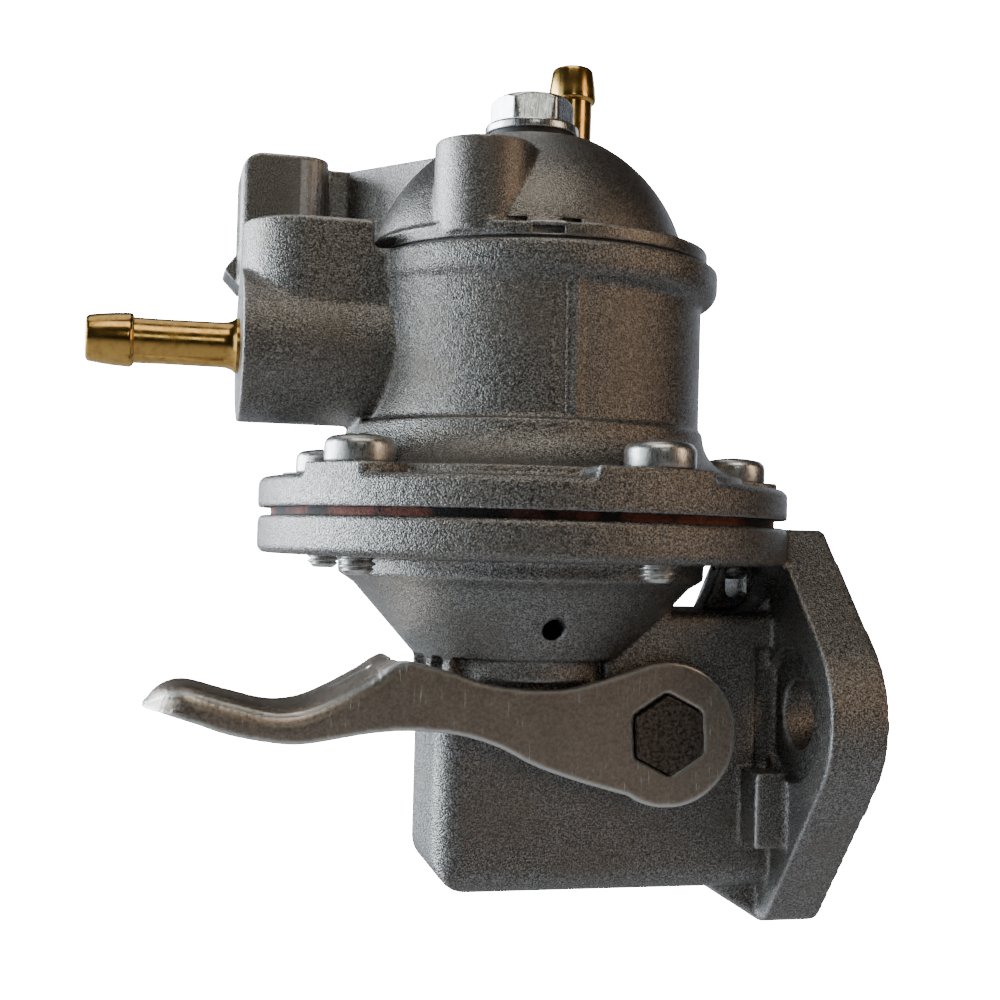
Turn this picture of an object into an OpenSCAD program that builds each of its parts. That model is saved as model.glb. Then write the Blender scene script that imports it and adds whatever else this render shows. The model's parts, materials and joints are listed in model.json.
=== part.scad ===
// Mechanical fuel pump with a rocker arm, a hand priming lever and two hose barbs.
// Each piece is drawn round the pump's own axis, with Z = 0 on the face that carries the diaphragm.
// It is then moved so that the origin lies between the two mounting holes, on the face that meets the engine.

/* [Placement] */
// Distance from the face that meets the engine to the pump's axis
axis_reach = 52.5; // [51:0.5:56]
// Height of the diaphragm deck above the two mounting holes
deck_rise = 31.5; // [31:0.5:34]

/* [Diaphragm flanges] */
// Outer radius of the clamped flanges
flange_r = 46; // [45.5:0.5:48]
// Thickness of the lower flange
lower_flange_t = 6.4; // [5.4:0.2:7.4]
// Thickness of the upper flange between its lobes
upper_flange_t = 5.2; // [4:0.2:6]
// How much higher the lobes and the inner deck stand
lobe_rise = 1.7; // [1:0.1:2.5]
// Radius of each lobe
lobe_r = 8.6; // [7:0.2:9]
// Thickness of the diaphragm
diaphragm_t = 1.3; // [1.1:0.1:1.8]
// How far the diaphragm's edge lies inside the flanges
diaphragm_recess = 2.2; // [1:0.1:2.6]
// Number of screws round the flanges
screw_count = 5; // [5:1:6]
// Distance of the screws' axes from the flanges' edge
screw_edge = 6.3; // [6:0.1:7]
// Radius of a screw's thread
screw_r = 3; // [2.5:0.1:3.2]
// Radius of a screw's pan head
screw_head_r = 5.6; // [5:0.1:6]
// Height of a screw's pan head
screw_head_h = 4.6; // [3:0.1:5]
// How far the screws stand out below the lower flange
screw_end = 2.8; // [2:0.2:5]

/* [Spring chamber] */
// Radius of the short band under the flange
cone_top_r = 32; // [31:0.5:33]
// Height of that band
cone_band_h = 3; // [2:0.2:4]
// Radius at the foot of the cone
cone_foot_r = 18.7; // [18:0.1:19.5]
// Depth of the cone's foot below the deck
cone_foot_z = 23; // [22.5:0.5:23.5]
// Radius of the neck between the cone and the rocker box
neck_r = 16; // [15:0.5:17]
// Depth of the neck's lower end below the deck
neck_foot_z = 26.8; // [26.4:0.2:27]
// Wall of the spring chamber, measured level
chamber_wall = 4.4; // [3.6:0.2:5]
// Radius of the weep hole in the cone
weep_r = 1.75; // [1:0.05:2]

/* [Rocker box] */
// Half the width of the rocker box
box_half_w = 13; // [12.6:0.2:13.6]
// Distance from the pump's axis to the box's far wall
box_back = 16.5; // [15.5:0.5:18]
// Depth of the box's floor below the deck
box_floor_z = 62.5; // [61:0.5:65]
// Depth of the box's high roof below the deck
box_roof_z = 14.7; // [14:0.1:15.4]
// Wall of the rocker box
box_wall = 3.2; // [2.6:0.1:3.4]
// Radius of the box's lower back corner
box_foot_r = 7; // [5:0.5:9]
// Radius of the box's long edges
box_edge_r = 4.5; // [3:0.5:5]

/* [Mounting flange] */
// Thickness of the mounting flange
mount_t = 10; // [9:0.5:11]
// Distance between the two mounting holes
mount_spacing = 40; // [39:0.5:42]
// Radius of the mounting holes
mount_hole_r = 5.75; // [4.5:0.05:6]
// Radius of the flange's ears round the holes
ear_r = 16.5; // [16:0.1:17.5]
// Radius of the spot faces round the holes
spot_r = 11.2; // [10:0.1:12]
// Depth of the spot faces
spot_depth = 1.5; // [0.5:0.1:2.5]
// How far the flange reaches below the deck
mount_foot_z = 69; // [67:0.5:71]

/* [Filter bowl] */
// Outer radius of the filter bowl
bowl_r = 29.8; // [29:0.1:30.4]
// Wall of the filter bowl
bowl_wall = 4; // [3:0.2:5]
// Height of the ledge where the bowl stands on the flange
ledge_z = 16; // [15.4:0.2:17]
// Height of the rim's underside
rim_foot_z = 37.8; // [36.5:0.1:38.6]
// Height of the rim's top
rim_top_z = 44.4; // [43.6:0.1:45.4]
// Radius of the rim
rim_r = 31.5; // [31:0.1:32.2]
// How far the rim's centre lies towards the engine from the pump's axis
rim_shift = 1.9; // [1.2:0.1:2.4]
// Thickness of the floor between the pump chamber and the bowl
deck_t = 6.4; // [6:0.1:6.8]

/* [Outlet] */
// Distance from the pump's axis to the end of the outlet boss
outlet_reach = 50.2; // [49:0.1:52]
// Height of the outlet's axis
outlet_z = 28.2; // [27.6:0.1:29]
// How far the outlet's axis lies beside the pump's axis
outlet_side = 1.5; // [0:0.1:2]
// Radius of the outlet boss
outlet_boss_r = 12.8; // [12:0.1:13]
// Height of the upright chamber on the outlet boss
surge_top_z = 49; // [47:0.2:51]
// Radius of the upright chamber's round end
surge_r = 11; // [10:0.1:11.6]

/* [Hose barbs] */
// Radius of the hose land
barb_land_r = 3.8; // [3.5:0.05:4]
// Largest radius of the barb
barb_r = 4.5; // [4.3:0.05:4.8]
// Length of the outlet pipe's barb
outlet_barb_len = 7.8; // [6:0.1:9]
// Length of the inlet pipe's barb
inlet_barb_len = 6.7; // [6:0.1:9]
// Radius of the fuel passage in the barbs
barb_bore_r = 2.6; // [2:0.05:3]
// How deep the pipes are pressed into their bosses
pipe_depth = 9; // [7:0.5:10]
// How far the outlet pipe stands out of its boss
outlet_pipe_len = 24.8; // [22:0.2:28]
// How far the inlet pipe stands out of its boss
inlet_pipe_len = 25.5; // [24:0.1:30]

/* [Cover] */
// Radius of the cover's lip
lip_r = 29.6; // [29:0.1:30.2]
// Thickness of the cover's lip
lip_t = 2.5; // [2:0.1:3]
// Thickness of the gasket under the lip
gasket_t = 0.6; // [0.4:0.1:1]
// Radius of the dome
dome_r = 28; // [27.6:0.1:28.4]
// Height of the dome's centre
dome_z = 41; // [40.6:0.1:41.4]
// Wall of the dome
dome_wall = 3; // [2.4:0.1:3.4]
// Height of the bolt's seat
seat_z = 66.7; // [66:0.1:67]
// Radius of the two upright bosses
boss_r = 8.3; // [7.8:0.1:8.6]
// Distance of the upright bosses' axes from the pump's axis
boss_reach = 20.8; // [20:0.1:21.4]
// Bearing of the inlet boss round the pump's axis
boss_angle = 54.8; // [50:0.2:60]
// Height of the upright bosses
boss_top_z = 61.3; // [60:0.1:62]
// Radius of the cover bolt's thread
bolt_r = 4; // [3.5:0.1:4.2]
// Radius of the cover bolt's collar
collar_r = 8.3; // [8:0.1:8.8]
// Width of the cover bolt's hexagon across its flats
bolt_flats = 13; // [12:0.5:14]

/* [Diaphragm drive] */
// Radius of the lower diaphragm plate
plate_r = 26; // [24:0.5:26.5]
// Thickness of the diaphragm plates
plate_t = 1.5; // [1.2:0.1:1.8]
// Radius of the pull rod
rod_r = 3.5; // [3.2:0.1:3.8]
// Radius of the head on the rod's lower end
rod_head_r = 6.5; // [6:0.1:7]
// Mean radius of the diaphragm spring
main_spring_r = 11; // [9.5:0.5:12]
// Wire radius of the diaphragm spring
main_wire_r = 0.9; // [0.7:0.1:1.1]

/* [Rocker arm] */
// Distance from the pump's axis to the rocker's pivot
pivot_x = 39.1; // [38.6:0.1:39.6]
// Depth of the rocker's pivot below the deck
pivot_z = 48; // [47.6:0.1:48.4]
// Radius of the rocker's pivot pin
pin_r = 3.5; // [3:0.1:4]
// Radius of the rocker's hub
hub_r = 7.6; // [7:0.1:8]
// How far the rocker reaches past the mounting face
cam_reach = 13; // [8:0.5:18]
// Radius of the pad that rides on the engine's cam
cam_pad_r = 4.5; // [4:0.1:5]

/* [Priming lever] */
// Distance from the pump's axis to the priming shaft
shaft_x = 22.4; // [22:0.1:22.8]
// Depth of the priming shaft below the deck
shaft_z = 35.3; // [35:0.1:35.6]
// Radius of the priming shaft
shaft_r = 5; // [4.6:0.1:5]
// Radius of the lever's round end
lever_disc_r = 12.3; // [11.5:0.1:12.8]
// Thickness of the lever's sheet
lever_t = 2.4; // [2:0.1:2.6]
// Gap between the box and the lever
lever_gap = 1; // [0.8:0.1:1.4]
// Width of the lever's finger channel
lever_w = 21; // [18:0.5:23]
// Width of the shaft's staked hexagon across its corners
stake_w = 13.4; // [12:0.2:14]
// Gap between that hexagon and its hole in the lever
stake_gap = 0.2; // [0.1:0.05:0.3]
// Distance from the pump's axis to the lever's tip
lever_reach = 65.2; // [63:0.2:67]
// Depth of the lip along the far edge of the lever
lever_lip = 5; // [4:0.2:6]

/* [Hidden] */
$fn = 64;
// Turn of the staked hexagon at rest
stake_turn = 93;
// Running clearance of shafts and pins, as a radius
run_gap = 0.04;
// Gap between pieces that are clamped or pressed together
seat_gap = 0.02;
// Allowance by which a cut runs past a face
past = 1;

cast = [0.36, 0.35, 0.33];
steel = [0.62, 0.63, 0.64];
dark_steel = [0.3, 0.28, 0.26];
brass = [0.8, 0.6, 0.24];
rubber = [0.08, 0.08, 0.08];

flange_back = axis_reach - mount_t;
screw_circle_r = flange_r - screw_edge;
// Mouth of the chamber, which leaves a ring to clamp the diaphragm inside the screws
mouth_r = screw_circle_r - screw_r - 2.7;
upper_low_z = diaphragm_t + upper_flange_t;
lobe_z = upper_low_z + lobe_rise;
deck_r = screw_circle_r - 1.4;
bowl_floor_z = ledge_z;
chamber_roof_z = bowl_floor_z - deck_t;
lip_foot_z = rim_top_z + gasket_t;
lip_top_z = lip_foot_z + lip_t;
screw_angles = [for (i = [0 : screw_count - 1]) i * 360 / screw_count];
spring_floor_z = cone_foot_z - 0.6;
box_ceiling_z = neck_foot_z + box_wall;

// Everything round the pump's axis is drawn inside this move
module on_axis() {
  translate([-axis_reach, 0, deck_rise]) children();
}

// A side view, drawn with X to the engine and Y upwards, given a width across the pump
module across(width, middle = 0) {
  translate([0, middle + width / 2, 0]) rotate([90, 0, 0]) linear_extrude(width) children();
}

// An end view, drawn with X across the pump and Y upwards, given a depth towards the engine
module towards(depth) {
  rotate([90, 0, 90]) linear_extrude(depth) children();
}

// What a rounded corner takes off: the material lies up and to the right of it before the turn
module corner_off(x, y, turn, r) {
  translate([x, y]) rotate(turn) difference() {
    translate([-past, -past]) square(r + past);
    translate([r, r]) circle(r);
  }
}

// The tangent points of a belt round circles [x, y, r], listed anticlockwise
function belt_points(c) = [for (i = [0 : len(c) - 1])
  let (p = c[i], q = c[(i + 1) % len(c)], dx = q[0] - p[0], dy = q[1] - p[1])
  let (a = atan2(dy, dx) - acos((p[2] - q[2]) / norm([dx, dy])))
  each [[p[0] + p[2] * cos(a), p[1] + p[2] * sin(a)], [q[0] + q[2] * cos(a), q[1] + q[2] * sin(a)]]];

module belt(c) {
  polygon(belt_points(c));
  for (k = c) translate([k[0], k[1]]) circle(k[2]);
}

// A smooth curve through design points, with the given number of steps between two of them
function curve_at(a, b, c, d, t) =
  0.5 * ((2 * b) + (c - a) * t + (2 * a - 5 * b + 4 * c - d) * t * t + (3 * b - a - 3 * c + d) * t * t * t);
function curve(p, steps) = concat([for (i = [0 : len(p) - 2], s = [0 : steps - 1])
  curve_at(p[max(i - 1, 0)], p[i], p[i + 1], p[min(i + 2, len(p) - 1)], s / steps)], [p[len(p) - 1]]);

// A coil spring that stands on Z = 0, with a dead turn at each end
function coil_height(turn, turns, length, wire) =
  lookup(turn, [[0, wire], [1, 3 * wire], [turns - 1, length - 3 * wire], [turns, length - wire]]);
module coil(r, wire, length, turns) {
  sides = 8;
  steps = 16;
  last = turns * steps;
  points = [for (i = [0 : last], k = [0 : sides - 1])
    let (a = i * 360 / steps, b = k * 360 / sides, reach = r + wire * cos(b))
    [reach * cos(a), reach * sin(a), coil_height(i / steps, turns, length, wire) + wire * sin(b)]];
  walls = [for (i = [0 : last - 1], k = [0 : sides - 1])
    let (n = (k + 1) % sides)
    [i * sides + k, i * sides + n, (i + 1) * sides + n, (i + 1) * sides + k]];
  ends = [[for (k = [sides - 1 : -1 : 0]) k], [for (k = [0 : sides - 1]) last * sides + k]];
  polyhedron(points, concat(walls, ends), convexity = 8);
}

module hex_prism(flats, h) {
  cylinder(r = flats / 2 / cos(30), h = h, $fn = 6);
}

// Lower body

module lower_shell() {
  band_z = lower_flange_t + cone_band_h;
  slope_z = band_z + 1.6;
  rotate_extrude() polygon([[0, 0], [flange_r - 0.6, 0], [flange_r, -0.6], [flange_r, 0.9 - lower_flange_t],
    [flange_r - 0.9, -lower_flange_t], [cone_top_r, -lower_flange_t], [cone_top_r, -band_z],
    [cone_top_r - 2.6, -slope_z], [cone_foot_r, -cone_foot_z], [neck_r, -cone_foot_z],
    [neck_r, -neck_foot_z], [0, -neck_foot_z]]);
}

module neck_ribs() {
  rib_w = 2.2;
  for (a = [170, -144, -160]) rotate(a)
    translate([neck_r - past, -rib_w / 2, -neck_foot_z])
      cube([cone_foot_r - neck_r + past - 0.3, rib_w, neck_foot_z - cone_foot_z + past]);
}

module box_solid() {
  high_x = neck_r - 4;
  intersection() {
    across(2 * box_half_w) difference() {
      union() {
        translate([-box_back, -box_floor_z])
          square([flange_back + box_back + past, box_floor_z - neck_foot_z]);
        translate([high_x, -box_floor_z]) square([flange_back - high_x + past, box_floor_z - box_roof_z]);
      }
      corner_off(-box_back, -box_floor_z, 0, box_foot_r);
      corner_off(-box_back, -neck_foot_z, 270, 2);
    }
    translate([0, 0, -box_floor_z - past]) linear_extrude(box_floor_z) difference() {
      translate([-box_back, -box_half_w]) square([flange_back + box_back + past, 2 * box_half_w]);
      corner_off(-box_back, -box_half_w, 0, box_edge_r);
      corner_off(-box_back, box_half_w, 270, box_edge_r);
    }
    translate([-box_back - past, 0, 0]) towards(flange_back + box_back + 3 * past) difference() {
      translate([-box_half_w, -box_floor_z]) square([2 * box_half_w, box_floor_z - box_roof_z]);
      corner_off(-box_half_w, -box_floor_z, 0, box_edge_r);
      corner_off(box_half_w, -box_floor_z, 90, box_edge_r);
      corner_off(box_half_w, -box_roof_z, 180, box_edge_r / 2);
      corner_off(-box_half_w, -box_roof_z, 270, box_edge_r / 2);
    }
  }
}

module mount_plate() {
  side = mount_spacing / 2;
  top_r = 2.5;
  foot_r = 6;
  top_half = 12.5;
  foot_half = 14;
  translate([flange_back, 0, 0]) towards(mount_t) belt([
    [top_r - top_half, -top_r, top_r], [-side, -deck_rise, ear_r],
    [foot_r - foot_half, foot_r - mount_foot_z, foot_r], [foot_half - foot_r, foot_r - mount_foot_z, foot_r],
    [side, -deck_rise, ear_r], [top_half - top_r, -top_r, top_r]]);
}

// The web under the flange, the fillets at the box's roof and floor, and the two lugs
module stiffeners() {
  web_w = 5;
  fillet_r = 5;
  lug_w = 5.6;
  lug_out = 7;
  lug_h = 12.6;
  lug_top_z = 41.4;
  foot_w = 3;
  web_foot_x = screw_circle_r - screw_r - 3.5;
  across(web_w) polygon([[web_foot_x + 3.5, -lower_flange_t], [web_foot_x + 2, -lower_flange_t - 4.5],
    [web_foot_x, -box_roof_z], [web_foot_x, -box_roof_z - past], [flange_back + past, -box_roof_z - past],
    [flange_back + past, -lower_flange_t]]);
  across(2 * box_half_w - box_edge_r) difference() {
    translate([flange_back - fillet_r, -box_roof_z - past]) square([fillet_r + past, fillet_r + past]);
    translate([flange_back - fillet_r, fillet_r - box_roof_z]) circle(fillet_r);
  }
  across(box_half_w + foot_w) polygon([[flange_back - 9, past - box_floor_z], [flange_back - 9, -box_floor_z],
    [flange_back - 4.9, -box_floor_z - 3.3], [flange_back - 1, -box_floor_z - 5.1],
    [flange_back + past, -box_floor_z - 5.1], [flange_back + past, past - box_floor_z]]);
  lug_mid = box_half_w + lug_out / 2 - past / 2;
  for (s = [-1, 1])
    translate([flange_back - lug_w, s * lug_mid - lug_out / 2 - past / 2, -lug_top_z - lug_h])
      cube([lug_w + past, lug_out + past, lug_h]);
}

// A mounting hole with its spot face and the relief that it needs in the side of the box
module mount_hole() {
  wall_left = 1.5;
  relief_x = 3;
  translate([flange_back, -mount_spacing / 2, -deck_rise]) rotate([0, 90, 0])
    translate([0, 0, -past]) cylinder(r = mount_hole_r, h = mount_t + 2 * past);
  intersection() {
    translate([flange_back, -mount_spacing / 2, -deck_rise]) rotate([0, 90, 0]) {
      translate([0, 0, -0.3]) cylinder(r = spot_r, h = spot_depth + 0.3);
      intersection() {
        translate([0, 0, -relief_x]) cylinder(r = spot_r + 2, h = relief_x);
        translate([-spot_r - 5, mount_spacing / 2 - box_half_w - 0.3, -relief_x])
          cube([2 * spot_r + 10, box_half_w, relief_x]);
      }
    }
    translate([0, box_wall - box_half_w - wall_left - mount_spacing, -2 * deck_rise])
      cube([axis_reach, mount_spacing, 2 * deck_rise]);
  }
}

// Space for the diaphragm, its plates and its spring
module spring_space() {
  rotate_extrude() polygon([[0, past], [mouth_r + 1, past], [mouth_r + 1, -0.8],
    [cone_top_r - chamber_wall, -3.4], [cone_top_r - chamber_wall, -8.2],
    [cone_foot_r - chamber_wall, -spring_floor_z], [0, -spring_floor_z]]);
}

// Space for the rocker arm, open at the mounting face
module rocker_space() {
  inner_w = 2 * (box_half_w - box_wall);
  floor_z = box_floor_z - box_wall;
  roof_z = box_roof_z + box_wall;
  mouth_drop = 3.6;
  neck_slope = 11;
  // the roof slopes down towards the engine and towards the neck
  across(inner_w) polygon([[box_wall - box_back, -floor_z], [axis_reach + past, -floor_z],
    [axis_reach + past, -roof_z - mouth_drop], [flange_back - 2, -roof_z], [neck_r + neck_slope, -roof_z],
    [neck_r, -box_ceiling_z], [box_wall - box_back, -box_ceiling_z]]);
}

module lower_body() color(cast) on_axis() {
  side = mount_spacing / 2;
  difference() {
    union() {
      difference() {
        union() {
          lower_shell();
          neck_ribs();
          box_solid();
          mount_plate();
          stiffeners();
          // bosses round the priming shaft and the pivot pin
          across(2 * box_half_w + 1) translate([shaft_x, -shaft_z]) circle(shaft_r + 3.5);
          across(5, box_half_w) translate([pivot_x, -pivot_z]) circle(pin_r + 3.5);
        }
        spring_space();
        rocker_space();
      }
      // spigot for the rocker's return spring
      translate([rocker_spring_x, 0, -box_floor_z + box_wall - past]) cylinder(r = 2.6, h = 3.4 + past);
    }
    for (a = screw_angles) rotate(a) translate([screw_circle_r, 0, -lower_flange_t - 6])
      cylinder(r = screw_r + seat_gap, h = lower_flange_t + 6 + past);
    // the pull rod's guide and the pocket of its seal
    translate([0, 0, -box_ceiling_z - past]) cylinder(r = rod_r + run_gap, h = box_wall + 10);
    translate([0, 0, -spring_floor_z - seal_depth]) cylinder(r = seal_r + seat_gap, h = seal_depth + past);
    // weep hole
    translate([0, 0, -17.4]) rotate([90, 0, 0]) cylinder(r = weep_r, h = cone_top_r);
    // priming shaft, its seal and the pivot pin
    across(4 * box_half_w) translate([shaft_x, -shaft_z]) circle(shaft_r + run_gap);
    across(shaft_seal_t + past, -box_half_w + box_wall - (shaft_seal_t - past) / 2)
      translate([shaft_x, -shaft_z]) circle(shaft_seal_r + seat_gap);
    translate([pivot_x, box_half_w + 10, -pivot_z]) rotate([90, 0, 0])
      cylinder(r = pin_r + seat_gap, h = 10 + 2 * box_half_w - pin_skin);
    for (s = [0, 1]) mirror([0, s, 0]) mount_hole();
  }
}

// Upper body

module upper_shell() {
  fillet_r = ledge_z - lobe_z;
  neck = bowl_r + 1.4;
  lobe_h = lobe_z - diaphragm_t;
  near_span = 18;
  rotate_extrude() polygon([[0, diaphragm_t], [flange_r, diaphragm_t], [flange_r, upper_low_z - 0.9],
    [flange_r - 0.9, upper_low_z], [0, upper_low_z]]);
  translate([0, 0, diaphragm_t]) {
    cylinder(r = deck_r, h = lobe_h);
    intersection() {
      union() {
        for (a = screw_angles) rotate(a) translate([screw_circle_r, 0, 0]) cylinder(r = lobe_r, h = lobe_h);
        // the near lobe runs on to the parting line
        rotate(-90) rotate_extrude(angle = near_span) square([flange_r + past, lobe_h]);
      }
      cylinder(r = flange_r - 0.05, h = lobe_h);
    }
  }
  // the fillet under the bowl, with a flat milled in it for each screw head
  difference() {
    rotate_extrude() difference() {
      translate([0, diaphragm_t]) square([deck_r - 0.2, ledge_z - diaphragm_t]);
      translate([neck + fillet_r, ledge_z]) circle(fillet_r);
    }
    for (a = screw_angles) rotate(a) translate([screw_circle_r, 0, lobe_z - past])
      cylinder(r = screw_head_r + 0.4, h = ledge_z);
  }
}

module bowl_solid() {
  // the rim's round underside starts inside the bowl all the way round
  edge_r = rim_r - bowl_r + rim_shift - bowl_shift + 0.5;
  translate([bowl_shift, 0, 0]) cylinder(r = bowl_r, h = rim_foot_z + past);
  translate([rim_shift, 0, 0]) rotate_extrude() difference() {
    translate([0, rim_foot_z]) square([rim_r, rim_top_z - rim_foot_z]);
    corner_off(rim_r, rim_foot_z, 90, edge_r);
    corner_off(rim_r, rim_top_z, 180, 0.8);
  }
  // the parting line's bead on the near side
  translate([bowl_shift, 0.2 - bowl_r, 0]) {
    translate([0, 0, ledge_z + 1.4]) cylinder(r = 0.8, h = rim_foot_z - ledge_z - 1);
    translate([0, 0, ledge_z + 1.4]) sphere(0.8);
  }
}

module outlet_solid() {
  surge_x = surge_r - outlet_reach;
  rim_x = rim_shift - rim_r + 0.4;
  translate([0, -outlet_side, outlet_z]) rotate([0, -90, 0]) cylinder(r = outlet_boss_r, h = outlet_reach);
  translate([0, -outlet_side, 0]) {
    // the upright chamber ends a little inside the rim, clear of the cover's lip
    intersection() {
      union() {
        translate([surge_x, 0, outlet_z]) cylinder(r = surge_r, h = surge_top_z - outlet_z);
        translate([surge_x, -surge_r, outlet_z]) cube([2 * surge_r, 2 * surge_r, surge_top_z - outlet_z]);
      }
      translate([rim_x - outlet_reach, -surge_r - past, outlet_z])
        cube([outlet_reach, 2 * surge_r + 2 * past, surge_top_z]);
    }
    translate([surge_x, -surge_r, outlet_z]) cube([rim_x + 6 - surge_x, 2 * surge_r, rim_top_z - outlet_z]);
  }
}

module upper_body() color(cast) on_axis() {
  inner_r = bowl_r - bowl_wall;
  gallery_top_z = outlet_z + 6;
  difference() {
    union() {
      difference() {
        union() {
          upper_shell();
          bowl_solid();
          outlet_solid();
        }
        translate([bowl_shift, 0, bowl_floor_z]) cylinder(r = inner_r, h = rim_top_z);
        translate([rim_shift, 0, screen_z]) cylinder(r = screen_r + seat_gap, h = rim_top_z);
      }
      // the post that the cover bolt screws into, and the gallery over the outlet valve
      translate([0, 0, chamber_roof_z + past]) cylinder(r = post_r, h = post_top_z - chamber_roof_z - past);
      translate([-valve_x, 0, chamber_roof_z + past])
        cylinder(r = valve_r + 2.8, h = gallery_top_z - chamber_roof_z);
    }
    rotate_extrude() polygon([[0, 0], [mouth_r, 0], [mouth_r, diaphragm_t + 1.6],
      [plate_r, chamber_roof_z], [0, chamber_roof_z]]);
    for (a = screw_angles) rotate(a) translate([screw_circle_r, 0, 0])
      cylinder(r = screw_r + 0.3, h = lobe_z + past);
    translate([valve_x, 0, 0]) cylinder(r = valve_r + seat_gap, h = bowl_floor_z + past);
    translate([-valve_x, 0, 0]) cylinder(r = valve_r + seat_gap, h = gallery_top_z - 2);
    translate([0, 0, post_top_z - bolt_depth - past])
      cylinder(r = bolt_r + seat_gap, h = bolt_depth + 2 * past);
    translate([-valve_x, -outlet_side, outlet_z]) rotate([0, -90, 0])
      cylinder(r = barb_bore_r, h = outlet_reach);
    translate([pipe_depth - outlet_reach, -outlet_side, outlet_z]) rotate([0, -90, 0])
      cylinder(r = barb_land_r + seat_gap, h = pipe_depth + past);
  }
}

// Cover and its bolt

module cover_arm() {
  top_z = seat_z - 0.8;
  foot_z = lip_foot_z + 8;
  block_x = -outlet_reach + 0.6;
  block_y = 19;
  block_w = 16.3;
  block_d = 15;
  arm_x = block_x + block_w - 3.7;
  arm_y = block_y + 6.4;
  arm_w = 7.6;
  nose_z = lip_foot_z - 0.1;
  nose_out = 2.6;
  translate([0, 0, foot_z]) linear_extrude(top_z - foot_z)
    polygon([[-1, 2], [-9.4, 2.1], [arm_x + 7.7, arm_y], [arm_x, arm_y], [arm_x, arm_y + arm_w],
      [arm_x + 10, arm_y + arm_w], [-1, 8]]);
  difference() {
    translate([0, 0, lip_foot_z - 3]) linear_extrude(top_z + 0.8 - lip_foot_z + 3) difference() {
      translate([block_x, block_y]) square([block_w, block_d]);
      corner_off(block_x, block_y, 0, 2);
      corner_off(block_x + block_w, block_y, 90, 5);
      corner_off(block_x + block_w, block_y + block_d, 180, 5);
      corner_off(block_x, block_y + block_d, 270, 2);
    }
    across(4 * block_d, block_y) corner_off(block_x, top_z + 0.8, 270, 4);
  }
  across(block_d - 4, block_y + block_d / 2)
    polygon([[block_x + past, nose_z + 3.5], [block_x, nose_z + 3.5], [block_x - nose_out, nose_z],
      [block_x, nose_z - 2.7], [block_x + past, nose_z - 2.7]]);
}

// A ball round the dome's centre, cut flat at its foot and at its top
module dome_ball(r, foot_z, top_z, flat_r) {
  shoulder = 4.4;
  rotate_extrude() intersection() {
    translate([0, dome_z]) circle(r);
    polygon([[0, foot_z], [r + past, foot_z], [r + past, top_z - shoulder], [flat_r, top_z], [0, top_z]]);
  }
}

// The stepped keying marks in the near side of the lip, each [middle along X, height, length, reach]
lip_marks = [[-8.6, 47.8, 3.4, 25.9], [-4, 46, 5, 28], [0.2, 47.8, 3.2, 26.4]];

module dome_cover() color(cast) on_axis() {
  seat_r = 9.4;
  mark_h = 1.1;
  crown_t = 5;
  difference() {
    union() {
      translate([rim_shift, 0, lip_foot_z]) cylinder(r = lip_r, h = lip_t);
      dome_ball(dome_r, lip_foot_z + past, seat_z, seat_r);
      for (s = [0, 180]) rotate(boss_angle + s) translate([boss_reach, 0, lip_foot_z + past])
        cylinder(r = boss_r, h = boss_top_z - lip_foot_z - past);
      cover_arm();
    }
    for (m = lip_marks) translate([m[0] - m[2] / 2, -m[3] - 5, m[1] - mark_h / 2]) cube([m[2], 5, mark_h]);
    // the hollow of the dome, which leaves a thick crown under the bolt's seat
    dome_ball(dome_r - dome_wall, lip_foot_z - past, seat_z - crown_t, 0.4 * dome_r);
    translate([0, 0, seat_z - 10]) cylinder(r = bolt_r + 0.4, h = 20);
    rotate(boss_angle) translate([boss_reach, 0, 0]) {
      translate([0, 0, lip_top_z]) cylinder(r = barb_bore_r, h = boss_top_z);
      translate([0, 0, boss_top_z - pipe_depth])
        cylinder(r = barb_land_r + seat_gap, h = pipe_depth + past);
      translate([0, 0, boss_top_z]) cylinder(r = barb_land_r + 2, h = dome_r);
    }
  }
}

module cover_bolt() color(steel) on_axis() {
  collar_z = seat_z + bolt_seal_t + seat_gap;
  collar_t = 1.7;
  hex_h = 4.9;
  translate([0, 0, collar_z]) {
    cylinder(r = collar_r, h = collar_t);
    intersection() {
      rotate(-9.7) hex_prism(bolt_flats, collar_t + hex_h);
      rotate_extrude() polygon([[0, 0], [collar_r, 0], [collar_r, collar_t + hex_h - 1.4],
        [bolt_flats / 2 - 0.3, collar_t + hex_h], [0, collar_t + hex_h]]);
    }
  }
  translate([0, 0, post_top_z - bolt_depth + past])
    cylinder(r = bolt_r, h = collar_z - post_top_z + bolt_depth);
}

module cover_bolt_seal() color(rubber) on_axis() {
  translate([0, 0, seat_z + seat_gap / 2]) difference() {
    cylinder(r = collar_r - 0.4, h = bolt_seal_t - seat_gap / 2);
    translate([0, 0, -past]) cylinder(r = bolt_r + 0.2, h = bolt_seal_t + 2 * past);
  }
}

module cover_gasket() color(rubber) on_axis() {
  translate([rim_shift, 0, rim_top_z + seat_gap]) difference() {
    cylinder(r = lip_r - 0.3, h = gasket_t - 2 * seat_gap);
    translate([0, 0, -past]) cylinder(r = screen_r - 0.6, h = gasket_t + 2 * past);
  }
}

module filter_screen() color(brass) on_axis() {
  hole_r = 1.1;
  translate([rim_shift, 0, screen_z + seat_gap]) linear_extrude(rim_top_z - screen_z - 2 * seat_gap)
    difference() {
      circle(screen_r - seat_gap);
      translate([-rim_shift, 0]) circle(post_r + 0.4);
      for (ring = [0 : 3], i = [0 : 11 + 6 * ring]) rotate(i * 360 / (12 + 6 * ring))
        translate([post_r + 5.2 + 3.5 * ring, 0]) circle(hole_r);
    }
}

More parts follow.
